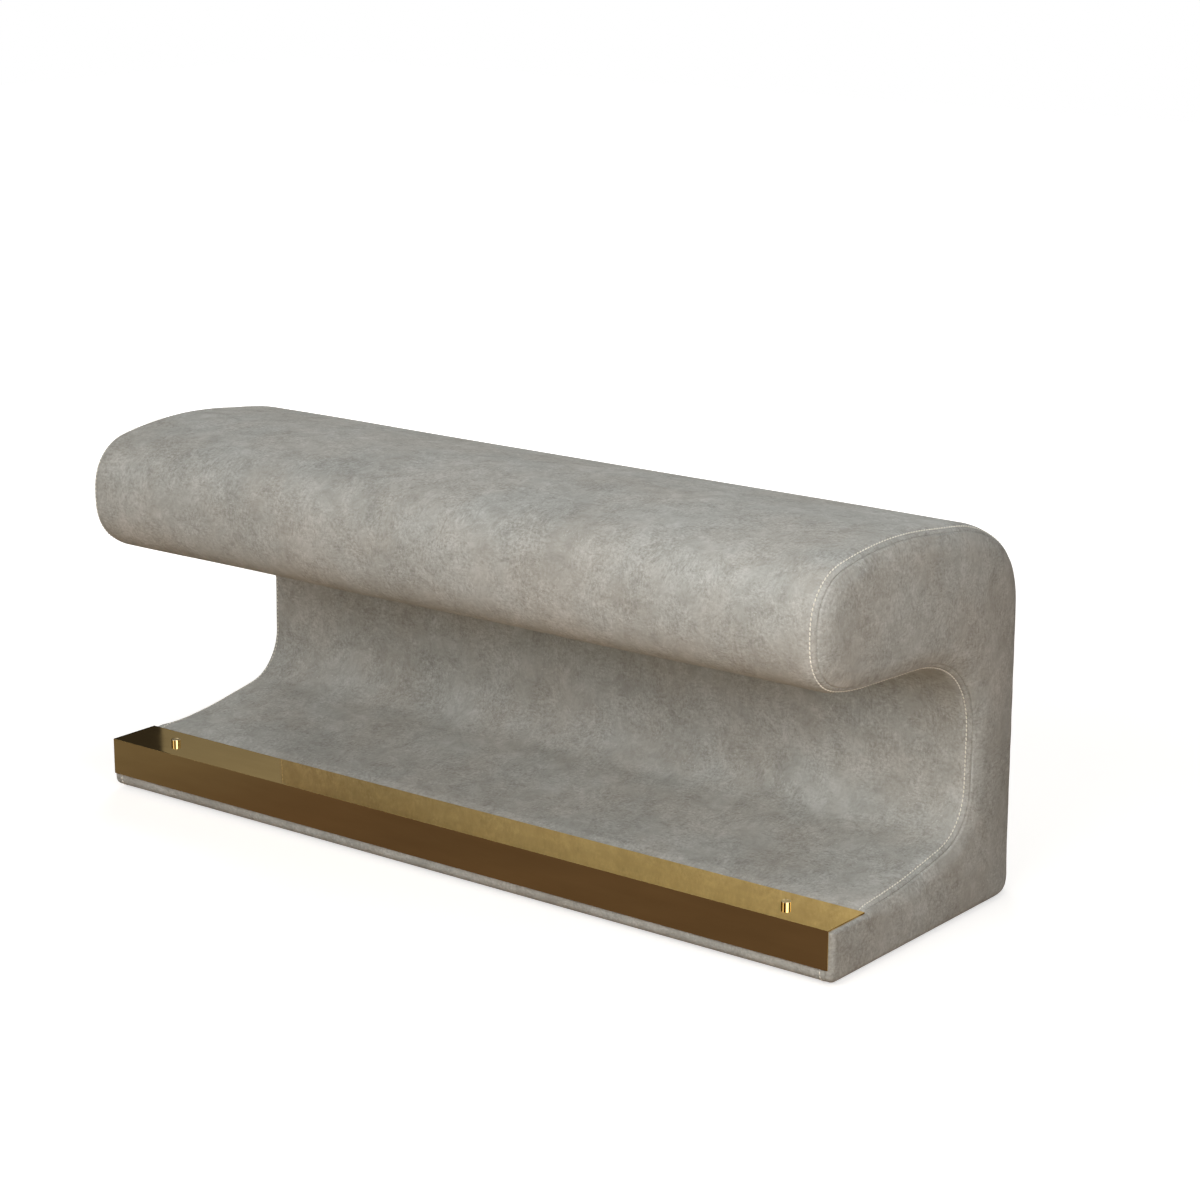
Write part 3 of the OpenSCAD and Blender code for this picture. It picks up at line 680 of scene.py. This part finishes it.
def makeBrassScrew(x, name):
    form = screwForm
    clearSelection()
    bpy.ops.mesh.primitive_cylinder_add(
        vertices=64, radius=form["headRadius"] * mm, depth=form["headHeight"] * mm,
        location=toFrame((x, brassForm["screwSetback"], brassForm["top"] + form["headHeight"] / 2)))
    piece = bpy.context.object
    piece.name = name
    applyPlace(piece)
    selectFaces(piece, lambda f: f.normal.z < -0.9)
    bpy.ops.mesh.inset(thickness=(form["headRadius"] - form["shankRadius"]) * mm)
    bpy.ops.mesh.extrude_region_move(TRANSFORM_OT_translate={"value": (0, 0, -form["shank"] * mm)})
    selectFaces(piece, lambda f: f.normal.z > 0.9)
    bpy.ops.mesh.bevel(offset=form["edge"] * mm, segments=3, affect="EDGES")
    selectFaces(piece, lambda f: f.normal.z > 0.9 and len(f.verts) > 8)
    for width in form["dishRim"]:
        bpy.ops.mesh.inset(thickness=width * mm)
    bpy.ops.transform.translate(value=(0, 0, -form["dish"] * mm))
    leaveEdit()
    evenNormals(piece)
    return piece


leftBrassScrew = makeBrassScrew(brassForm["screwX"][0], "leftBrassScrew")
rightBrassScrew = makeBrassScrew(brassForm["screwX"][1], "rightBrassScrew")
print("brass edge and screws made")


# foam under the covers
foamForm = {
    "edge": 1.2,           # cut edges of the slabs
    "pieces": {
        "seat_foam": "seatFoam", "nose_foam": "noseFoam", "soffit_foam": "soffitFoam",
        "inner_back_foam": "innerBackFoam", "base_foam": "baseFoam", "back_foam": "backFoam",
    },
}


def makeFoam(node, name):
    # a merged copy of the slab, with its cut edges softened
    data = cadNodes[node].data.copy()
    data.name = name
    piece = addObject(name, data)
    editAll(piece)
    bpy.ops.mesh.remove_doubles(threshold=0.00002)
    bpy.ops.mesh.dissolve_limited(angle_limit=math.radians(1))
    leaveEdit()
    breakEdges(piece, foamForm["edge"], 40)
    smoothByAngle(piece)
    return piece


endFoamForm = {
    "rows": 12,
    "depth": 1.9,
    "innerFace": 522.2,
    "leastStep": 0.2,      # each row keeps this much further out than the last, so nothing folds
    "spacing": 16.0,
}


def makeEndFoam(side, name):
    # the pad under an end cover: the same pillow, a cover's thickness lower, closed at the back
    form, depth = endFoamForm, endFoamForm["depth"]
    angles = np.linspace(0, math.pi / 2, form["rows"])
    grid = np.array([endRing(a, depth) for a in angles])
    apart, pillowX = pillowRows(grid, depth, endForm)
    back = grid[:1].copy()
    back[:, :, 0] = form["innerFace"]
    columns = grid.shape[1]
    face = pillowFace(grid[-1], pillowX[-1], apart[-1], form["spacing"], endForm)
    least = form["innerFace"] + form["leastStep"] * (1 + np.arange(len(grid)))[:, None]
    grid[:, :, 0] = np.maximum(pillowX, least)
    grid = np.concatenate([back, grid])
    extra, triangles = joinFace(len(grid), columns, face)
    faces = gridFaces(len(grid), columns, True) + triangles + [tuple(range(columns))[::-1]]
    points = np.vstack([grid.reshape(-1, 3), extra])
    piece = meshPiece(name, toFrame(points * [side, 1, 1]), faces)
    faceOutward(piece)
    smoothByAngle(piece)
    return piece


foams = {node: makeFoam(node, name) for node, name in foamForm["pieces"].items()}
foams["left_end_foam"] = makeEndFoam(-1, "leftEndFoam")
foams["right_end_foam"] = makeEndFoam(1, "rightEndFoam")
print("foam made,", len(foams), "pieces")


# dust cloth
clothForm = {"cells": (176, 58), "thickness": 0.25, "gap": 0.16, "wave": 0.05}
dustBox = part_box("dust_cloth")


def makeDustCloth():
    form, (low, high) = clothForm, dustBox
    clearSelection()
    bpy.ops.mesh.primitive_grid_add(x_subdivisions=form["cells"][0], y_subdivisions=form["cells"][1], size=1)
    piece = bpy.context.object
    piece.name = "dustCloth"
    piece.scale = (high.x - low.x, high.y - low.y, 1)
    piece.location = ((high.x + low.x) / 2, (high.y + low.y) / 2, high.z - form["gap"] * mm)
    applyPlace(piece)
    for vertex in piece.data.vertices:
        x, y = vertex.co.x * 1000, vertex.co.y * 1000
        wave = math.sin(x / 23 + 0.6 * math.sin(y / 31)) * math.sin(y / 37 + 1.3)
        vertex.co.z -= form["wave"] * wave * mm
    giveThickness(piece, form["thickness"], 0)
    return piece


dustCloth = makeDustCloth()
print("dust cloth made")


# materials
def emptyTree(owner):
    owner.use_nodes = True
    owner.node_tree.nodes.clear()
    return owner.node_tree


def emptyMaterial(name):
    material = bpy.data.materials.new(name)
    tree = emptyTree(material)
    return material, tree, addNode(tree, "OutputMaterial", {})


def newMaterial(name):
    material, tree, output = emptyMaterial(name)
    shader = addNode(tree, "BsdfPrincipled", {})
    tree.links.new(shader.outputs[0], output.inputs[0])
    return material, tree, shader


def feed(tree, socket, value):
    if isinstance(value, bpy.types.NodeSocket):
        tree.links.new(value, socket)
    else:
        socket.default_value = value


def setSockets(tree, node, values):
    for name, value in values.items():
        feed(tree, node.inputs[name], value)


def addNode(tree, kind, sockets, **settings):
    node = tree.nodes.new("ShaderNode" + kind)
    for name, value in settings.items():
        setattr(node, name, value)
    setSockets(tree, node, sockets)
    return node


def noise(tree, vector, scale, detail=2.0, rough=0.5, distortion=0.0, color=False):
    sockets = {"Vector": vector, "Scale": scale, "Detail": detail, "Roughness": rough, "Distortion": distortion}
    return addNode(tree, "TexNoise", sockets).outputs["Color" if color else "Fac"]


def mathNode(tree, operation, a, b=0.0, c=0.0):
    return addNode(tree, "Math", {0: a, 1: b, 2: c}, operation=operation).outputs[0]


def centred(tree, value, weight, base):
    # adds a pattern round zero to what lies under it
    return mathNode(tree, "MULTIPLY_ADD", mathNode(tree, "SUBTRACT", value, 0.5), weight, base)


def vectorNode(tree, operation, a, b=(0, 0, 0), scale=None):
    sockets = {0: a, 1: b} if scale is None else {0: a, "Scale": scale}
    return addNode(tree, "VectorMath", sockets, operation=operation).outputs[0]


def mapRange(tree, value, low, high, toLow=0.0, toHigh=1.0, smooth=False):
    sockets = {"Value": value, "From Min": low, "From Max": high, "To Min": toLow, "To Max": toHigh}
    way = "SMOOTHSTEP" if smooth else "LINEAR"
    return addNode(tree, "MapRange", sockets, interpolation_type=way).outputs[0]


def stretch(tree, vector, scale, turn=(0, 0, 0)):
    return addNode(tree, "Mapping", {"Vector": vector, "Scale": scale, "Rotation": turn}).outputs[0]


def wander(tree, place, size, reach):
    # lets a straight grain drift a little
    drift = vectorNode(tree, "SCALE", noise(tree, place, size, 3.0, 0.6, color=True), scale=reach)
    return vectorNode(tree, "ADD", place, drift)


def ramp(tree, value, stops):
    node = addNode(tree, "ValToRGB", {0: value})
    stops, elements = list(stops), node.color_ramp.elements
    while len(elements) < len(stops):
        elements.new(0.5)
    for element, (place, color) in zip(elements, stops):
        element.position = place
        element.color = (*color, 1)
    return node.outputs[0]


def mixColor(tree, share, a, b, blend="MIX"):
    a, b = [tone if isinstance(tone, bpy.types.NodeSocket) else (*tone, 1) for tone in (a, b)]
    node = addNode(tree, "Mix", {}, data_type="RGBA", blend_type=blend)
    setSockets(tree, node, {"Factor": share, "A": a, "B": b})
    return node.outputs["Result"]


def bump(tree, shader, height, strength, distance, below=None):
    node = addNode(tree, "Bump", {"Strength": strength, "Distance": distance, "Height": height})
    if below is not None:
        tree.links.new(below, node.inputs["Normal"])
    tree.links.new(node.outputs[0], shader.inputs["Normal"])
    return node.outputs[0]


def objectPlace(tree):
    return addNode(tree, "TexCoord", {}).outputs["Object"]


def clothPlace(tree):
    return addNode(tree, "UVMap", {}, uv_map="cloth").outputs[0]


suedeLook = {
    "dark": (0.285, 0.277, 0.250),
    "middle": (0.385, 0.378, 0.348),
    "light": (0.505, 0.500, 0.472),
    "warm": (1.012, 0.996, 0.978),
    "cool": (0.990, 1.002, 1.004),
    # sizes of the patterns, in marks per metre
    "clouds": 9.0,         # slow lights and darks
    "patches": 42.0,       # feathered blotches
    "grain": 260.0,        # short pile
    "strokes": (95.0, 420.0),   # brush marks, along and across
    "flecks": 380.0,
    "nap": (700.0, 1500.0),
    "swirl": 22.0,         # pushes the marks about
    "brushed": 13.0,       # where they run along or across
    "worn": 17.0,          # where they are worn off
    "fleckPlaces": 24.0,
    "tints": 7.0,
    "swirlReach": 0.014,
    "weights": {"clouds": 0.55, "patches": 0.95, "grain": 1.15, "strokes": 0.8, "flecks": 0.45},
    "roughness": (0.92, 0.78),
    "bumps": ((0.3, 0.0006), (0.3, 0.0002)),   # of the marks and of the nap
}


def suedeMaterial():
    look, weight = suedeLook, suedeLook["weights"]
    material, tree, shader = newMaterial("brushedSuede")
    place = clothPlace(tree)
    swirl = vectorNode(tree, "SUBTRACT", noise(tree, place, look["swirl"], color=True), (0.5, 0.5, 0.5))
    warped = vectorNode(tree, "ADD", place, vectorNode(tree, "SCALE", swirl, scale=look["swirlReach"]))
    clouds = noise(tree, place, look["clouds"], 3.0, 0.5)
    patches = noise(tree, warped, look["patches"], 3.0, 0.75, 0.6)
    grain = noise(tree, warped, look["grain"], 2.0, 0.8)
    along, across = look["strokes"]
    marks = noise(tree, stretch(tree, warped, (along, across, 1.0)), 1.0, 3.0, 0.7)
    crossMarks = noise(tree, stretch(tree, warped, (across, along, 1.0), (0, 0, 0.2)), 1.0, 3.0, 0.7)
    brushed = mapRange(tree, noise(tree, place, look["brushed"], 3.0, 0.6), 0.42, 0.58, smooth=True)
    worn = mapRange(tree, noise(tree, place, look["worn"], 4.0, 0.65), 0.36, 0.56, 0.25, 1.0, smooth=True)
    strokes = mixColor(tree, brushed, crossMarks, marks)
    flecks = mapRange(tree, noise(tree, warped, look["flecks"], 2.0, 0.7), 0.56, 0.74, smooth=True)
    fleckPlaces = noise(tree, place, look["fleckPlaces"], 3.0, 0.6)
    flecks = mathNode(tree, "MULTIPLY", flecks, mapRange(tree, fleckPlaces, 0.47, 0.62, smooth=True))
    total = centred(tree, patches, weight["patches"], centred(tree, clouds, weight["clouds"], 0.5))
    fine = centred(tree, strokes, weight["strokes"], centred(tree, grain, weight["grain"], 0.0))
    total = mathNode(tree, "MULTIPLY_ADD", fine, worn, total)
    total = mathNode(tree, "MULTIPLY_ADD", flecks, weight["flecks"], total)
    color = ramp(tree, total, [(0.16, look["dark"]), (0.5, look["middle"]), (0.84, look["light"])])
    tint = mapRange(tree, noise(tree, place, look["tints"], 3.0, 0.6), 0.38, 0.62, smooth=True)
    setSockets(tree, shader, {
        "Base Color": mixColor(tree, 1.0, color, mixColor(tree, tint, look["warm"], look["cool"]), "MULTIPLY"),
        "Roughness": mapRange(tree, total, 0.2, 0.8, *look["roughness"]),
        "Specular IOR Level": 0.08, "Sheen Weight": 0.06, "Sheen Roughness": 0.5,
        "Sheen Tint": (0.92, 0.91, 0.88, 1),
    })
    nap = noise(tree, stretch(tree, warped, (*look["nap"], 1.0)), 1.0, 2.0, 0.6)
    coarse = bump(tree, shader, total, *look["bumps"][0])
    bump(tree, shader, nap, *look["bumps"][1], coarse)
    return material


# finishes with one fine mottle: its size, detail, roughness and swirl, and its two colours
mottledLooks = {
    "creamThread": {
        "mottle": (900.0, 4.0, 0.6), "stops": (0.3, 0.7), "bump": (0.4, 0.0002),
        "colors": ((0.64, 0.612, 0.5226), (0.896, 0.8568, 0.7504)),
        "shader": {"Roughness": 0.6, "Sheen Weight": 0.2},
    },
    "zincPlated": {
        "mottle": (220.0, 3.0, 0.6), "bump": (0.08, 0.0002),
        "colors": ((0.50, 0.51, 0.52), (0.68, 0.68, 0.66)),
        "roughness": (0.26, 0.42), "shader": {"Metallic": 1.0},
    },
    "blackDustCloth": {
        "mottle": (420.0, 6.0, 0.75, 1.5), "bump": (0.5, 0.0003),
        "colors": ((0.012, 0.012, 0.014), (0.05, 0.05, 0.055)),
        "shader": {"Roughness": 0.88, "Sheen Weight": 0.15},
    },
    "mouldedNylon": {
        "mottle": (160.0, 4.0, 0.55), "bump": (0.1, 0.0002),
        "colors": ((0.60, 0.59, 0.55), (0.70, 0.69, 0.65)),
        "roughness": (0.38, 0.5),
        "shader": {"Subsurface Weight": 0.08, "Subsurface Radius": (0.002, 0.002, 0.0015)},
    },
}


def mottledMaterial(name):
    look = mottledLooks[name]
    material, tree, shader = newMaterial(name)
    mottle = noise(tree, objectPlace(tree), *look["mottle"])
    color = ramp(tree, mottle, zip(look.get("stops", (0.35, 0.7)), look["colors"]))
    setSockets(tree, shader, {"Base Color": color, **look["shader"]})
    if "roughness" in look:
        tree.links.new(mapRange(tree, mottle, 0.3, 0.7, *look["roughness"]), shader.inputs["Roughness"])
    bump(tree, shader, mottle, *look["bump"])
    return material


brassLook = {"color": (0.98, 0.70, 0.285), "darker": (0.92, 0.645, 0.255), "roughness": (0.03, 0.07)}
turnedBrassLook = {"color": (0.97, 0.80, 0.50), "darker": (0.93, 0.75, 0.44), "roughness": (0.03, 0.06)}


def brassMaterial(name, look):
    material, tree, shader = newMaterial(name)
    place = objectPlace(tree)
    haze = noise(tree, stretch(tree, place, (9.0, 60.0, 60.0)), 1.0, 5.0, 0.6)
    hair = noise(tree, stretch(tree, place, (14.0, 900.0, 900.0)), 1.0, 3.0, 0.6)
    setSockets(tree, shader, {
        "Base Color": mixColor(tree, mapRange(tree, haze, 0.35, 0.7), look["color"], look["darker"]),
        "Roughness": mapRange(tree, centred(tree, hair, 0.5, haze), 0.35, 0.75, *look["roughness"]),
        "Metallic": 1.0,
        "Specular Tint": (1.0, 0.96, 0.86, 1),    # gold at a low angle too
    })
    bump(tree, shader, haze, 0.02, 0.0004)
    return material


woodLook = {
    "plywood": {"face": ((0.47, 0.31, 0.16), (0.62, 0.44, 0.25)), "glue": (0.20, 0.12, 0.06), "ply": 1.5},
    "timber": ((0.50, 0.33, 0.17), (0.68, 0.50, 0.30)),
}


def plywoodMaterial(name, layers):
    # layers is the axis that the veneers are stacked along
    look = woodLook["plywood"]
    material, tree, shader = newMaterial(name)
    place = objectPlace(tree)
    axis = "XYZ".index(layers)
    grainScale = {"X": (60.0, 170.0, 3.0), "Y": (3.0, 60.0, 170.0), "Z": (170.0, 3.0, 60.0)}[layers]
    grain = noise(tree, stretch(tree, wander(tree, place, 4.0, 0.02), grainScale), 1.0, 6.0, 0.6)
    face = ramp(tree, grain, [(0.35, look["face"][0]), (0.68, look["face"][1])])
    split = addNode(tree, "SeparateXYZ", {0: place})
    stack = mathNode(tree, "FRACT", mathNode(tree, "DIVIDE", split.outputs[axis], look["ply"] * 2 * mm))
    plies = ramp(tree, stack, [(0.0, look["face"][0]), (0.46, look["face"][1]), (0.5, look["glue"]),
                               (0.54, look["face"][0]), (0.96, look["face"][1]), (1.0, look["glue"])])
    facing = addNode(tree, "SeparateXYZ", {0: addNode(tree, "NewGeometry", {}).outputs["Normal"]})
    flat = mathNode(tree, "GREATER_THAN", mathNode(tree, "ABSOLUTE", facing.outputs[axis]), 0.7)
    setSockets(tree, shader, {"Base Color": mixColor(tree, flat, plies, face), "Roughness": 0.62})
    bump(tree, shader, grain, 0.3, 0.0003)
    return material


def timberMaterial():
    material, tree, shader = newMaterial("pineRail")
    moved = wander(tree, objectPlace(tree), 3.0, 0.03)
    rings = noise(tree, stretch(tree, moved, (1.6, 60.0, 60.0)), 1.0, 3.0, 0.55, 1.2)
    fibres = noise(tree, stretch(tree, moved, (12.0, 700.0, 700.0)), 1.0, 3.0, 0.6)
    color = ramp(tree, centred(tree, fibres, 0.35, rings), zip((0.32, 0.7), woodLook["timber"]))
    setSockets(tree, shader, {"Base Color": color, "Roughness": 0.58})
    bump(tree, shader, fibres, 0.3, 0.0002)
    return material


foamLook = {"cells": 900.0, "patches": 14.0, "colors": ((0.74, 0.66, 0.43), (0.84, 0.78, 0.58))}


def foamMaterial():
    look = foamLook
    material, tree, shader = newMaterial("creamFoam")
    place = objectPlace(tree)
    cells = addNode(tree, "TexVoronoi", {"Vector": place, "Scale": look["cells"]})
    color = ramp(tree, noise(tree, place, look["patches"], 4.0, 0.6), zip((0.35, 0.65), look["colors"]))
    pores = mapRange(tree, cells.outputs["Distance"], 0.0, 0.6, 0.72, 1.0)
    setSockets(tree, shader, {"Base Color": mixColor(tree, 1.0, color, pores, "MULTIPLY"), "Roughness": 0.95})
    bump(tree, shader, cells.outputs["Distance"], 0.5, 0.0006)
    return material


suede, thread = suedeMaterial(), mottledMaterial("creamThread")
brass = brassMaterial("polishedBrass", brassLook)
turnedBrass = brassMaterial("turnedBrass", turnedBrassLook)
timber, foamSkin = timberMaterial(), foamMaterial()
zinc, dustBlack, nylon = [mottledMaterial(name) for name in ("zincPlated", "blackDustCloth", "mouldedNylon")]
plyAlong = {axis: plywoodMaterial("plywood" + axis, axis) for axis in "XYZ"}
print("materials made")


def coat(piece, material):
    piece.data.materials.clear()
    piece.data.materials.append(material)


# each new piece, what it is made of, its slot and the CAD node that it stands for
dressing = [
    (mainCover, suede, "suede", "main_cover"),
    (leftEndCover, suede, "suede", "left_end_cover"),
    (rightEndCover, suede, "suede", "right_end_cover"),
    (leftTopstitch, thread, "thread", "left_topstitch"),
    (rightTopstitch, thread, "thread", "right_topstitch"),
    (brassEdge, brass, "brass", "brass_angle"),
    (leftBrassScrew, turnedBrass, "brass", "left_brass_screw"),
    (rightBrassScrew, turnedBrass, "brass", "right_brass_screw"),
    (dustCloth, dustBlack, "dust_cloth", "dust_cloth"),
]
dressing += [(piece, foamSkin, "foam", node) for node, piece in foams.items()]
for piece, material, slot, node in dressing:
    coat(piece, material)
    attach(piece, "root")
    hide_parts(node)

# the CAD's own solids that stay
for material, nodes in (
    (plyAlong["X"], "left_end_rib left_rib centre_rib right_rib right_end_rib"),
    (plyAlong["Y"], "inner_skin back_panel"),
    (plyAlong["Z"], "base_board base_top_board seat_deck"),
    (timber, "front_rail rear_bottom_rail rear_top_rail nose_rail glue_blocks"),
    (zinc, "screw_inserts board_screws rail_screws cloth_staples glide_nails"),
    (nylon, "glides"),
):
    for node in nodes.split():
        coat(cadNodes[node], material)
print("pieces coated and set on their body")

# floor, studio cards, light and camera
studio = {
    "floorSize": 16.0,
    "floorColor": (0.62, 0.60, 0.57),
    "floorGlow": (0.62, 1.0),          # near the bench and far from it
    "glowFade": (0.9, 2.4),            # between these distances
    "bounceColor": (0.43, 0.31, 0.205),
    "worldLight": (0.45, 0.07),        # from the front and from behind
    "worldWay": (0.5, 0.87, 0),
    "sides": (0.045, 0.026, 0.012),
    "daylight": (3.0, 3.2, 4.4),
    "lights": {
        # place, what it points at, width and height, watts
        "keyLight": ((0.1, -3.4, 2.0), (0, 0, 0.25), (3.2, 1.8), 62),
        "sideLight": ((1.6, -1.05, 0.95), (0.5, 0, 0.25), (0.6, 0.6), 12.5),
        "topLight": ((0.9, 0.1, 3.0), (0.3, 0, 0.2), (2.6, 1.6), 14),
        "backLight": ((-2.4, 2.9, 1.8), (0, 0.1, 0.25), (1.8, 1.2), 62),
    },
}


def seenRays(tree):
    rays = addNode(tree, "LightPath", {}).outputs
    seen = mathNode(tree, "MAXIMUM", rays["Is Camera Ray"], rays["Is Glossy Ray"])
    return mathNode(tree, "MAXIMUM", seen, rays["Is Transmission Ray"])


def addShaders(tree, first, second):
    return addNode(tree, "AddShader", {0: first, 1: second}).outputs[0]


def makeFloor():
    clearSelection()
    bpy.ops.mesh.primitive_plane_add(size=studio["floorSize"], location=(0, 0, 0))
    floor = bpy.context.object
    floor.name = "studioFloor"
    material, tree, output = emptyMaterial("paleFloor")
    seen = seenRays(tree)
    color = mixColor(tree, seen, studio["bounceColor"], studio["floorColor"])
    away = addNode(tree, "VectorMath", {0: objectPlace(tree)}, operation="LENGTH").outputs["Value"]
    level = mapRange(tree, away, *studio["glowFade"], *studio["floorGlow"], smooth=True)
    strength = mathNode(tree, "MULTIPLY", seen, level)
    glow = addNode(tree, "Emission", {"Color": (1, 1, 1, 1), "Strength": strength})
    diffuse = addNode(tree, "BsdfDiffuse", {"Color": color})
    tree.links.new(addShaders(tree, diffuse.outputs[0], glow.outputs[0]), output.inputs[0])
    coat(floor, material)


# cards off camera that only polished metal sees: size, place, turn about z where one stands
# upright, the tones of its two ends, and where one tone goes over into the other
sides, daylight = (studio["sides"],) * 2, (studio["daylight"],) * 2
cards = {
    "floorCard": (
        (3.8, 3.8), (0, 0, 0.0008), None, ((0.155, 0.140, 0.132), (0.104, 0.077, 0.069)), (-0.20, -0.07)),
    "wallCard": (
        (5.0, 2.6), (-2.6, 1.5, 1.3), 0, ((0.030, 0.028, 0.026), (0.205, 0.200, 0.185)), (0.070, 0.073)),
    # a thin glowing veil in the mouth of the bench, seen only in reflections: painted reflection that makes the
    # fabric's mirror image in the brass leaf brighter
    "leafCard": ((1.1, 0.2), (0, 0.062, 0.195), 0, ((0, 0, 0), (0.135, 0.135, 0.10)), (-0.50, 0.25)),
    # the sides of the studio, which mostly the upright screw heads show
    "frontCard": ((2.6, 2.0), (0.7, -3.2, 1.0), 0, sides),
    "leftCard": ((4.8, 2.0), (-3.2, -1.2, 1.0), math.pi / 2, sides),
    "windowCard": ((3.0, 1.6), (3.3, -1.65, 0.95), 1.08, daylight),
    "rightCard": ((2.4, 2.0), (3.4, 1.3, 1.0), math.pi / 2, sides),
}


def makeCard(name, size, place, turn, tones, change=(-0.5, 0.5)):
    clearSelection()
    rotation = (0, 0, 0) if turn is None else (math.pi / 2, 0, turn)
    bpy.ops.mesh.primitive_plane_add(size=1, location=place, rotation=rotation)
    card = bpy.context.object
    card.name = name
    card.scale = (*size, 1)
    material, tree, output = emptyMaterial(name)
    local = objectPlace(tree)
    along = addNode(tree, "SeparateXYZ", {0: local}).outputs[0]
    tone = mixColor(tree, mapRange(tree, along, *change, smooth=True), *tones)
    soft = noise(tree, stretch(tree, local, (9.0, 16.0, 1.0)), 1.0, 4.0, 0.6)
    tone = mixColor(tree, 1.0, tone, mapRange(tree, soft, 0.3, 0.7, 0.88, 1.12), "MULTIPLY")
    surface = addNode(tree, "Emission", {"Color": tone}).outputs[0]
    # the leaf card glows over a transparent sheet: painted reflection added on top of what the brass leaf
    # mirrors
    if name == "leafCard":
        surface = addShaders(tree, surface, addNode(tree, "BsdfTransparent", {}).outputs[0])
    tree.links.new(surface, output.inputs[0])
    coat(card, material)
    card.visible_camera = card.visible_diffuse = card.visible_shadow = False
    card.visible_transmission = card.visible_volume_scatter = False


makeFloor()
for name, settings in cards.items():
    makeCard(name, *settings)


def areaLight(name, place, target, size, power):
    data = bpy.data.lights.new(name, "AREA")
    data.shape = "RECTANGLE"
    data.size, data.size_y = size
    data.energy = power
    lamp = addObject(name, data)
    lamp.location = place
    lamp.rotation_euler = (Vector(place) - Vector(target)).to_track_quat("Z", "Y").to_euler()
    lamp.visible_glossy = lamp.visible_camera = False


for name, settings in studio["lights"].items():
    areaLight(name, *settings)


def makeWorld():
    world = bpy.data.worlds.new("studioWorld")
    scene.world = world
    tree = emptyTree(world)
    sockets = {0: addNode(tree, "TexCoord", {}).outputs["Generated"], 1: studio["worldWay"]}
    way = addNode(tree, "VectorMath", sockets, operation="DOT_PRODUCT").outputs["Value"]
    level = mathNode(tree, "MAXIMUM", seenRays(tree), mapRange(tree, way, -0.8, 0.8, *studio["worldLight"]))
    sky = addNode(tree, "Background", {"Color": (1, 1, 1, 1), "Strength": level})
    tree.links.new(sky.outputs[0], addNode(tree, "OutputWorld", {}).inputs[0])


makeWorld()
scene.view_settings.view_transform = "Standard"

cameraForm = {
    "place": (2.2252, -2.7305, 1.2430),
    "azimuth": 37.96,
    "elevation": 14.95,
    "roll": 0.07,
    "lens": 90.97,
}


def makeCamera():
    form = cameraForm
    data = bpy.data.cameras.new("photoCamera")
    data.sensor_width = 36
    data.lens = form["lens"]
    camera = addObject("photoCamera", data)
    a, e, roll = [math.radians(form[name]) for name in ("azimuth", "elevation", "roll")]
    back = Vector((math.sin(a) * math.cos(e), -math.cos(a) * math.cos(e), math.sin(e)))
    right = Vector((0, 0, 1)).cross(back).normalized()
    turn = Matrix((right, back.cross(right), back)).transposed().to_4x4()
    camera.matrix_world = Matrix.Translation(form["place"]) @ turn @ Matrix.Rotation(roll, 4, "Z")
    scene.camera = camera


makeCamera()
print("studio and camera set")
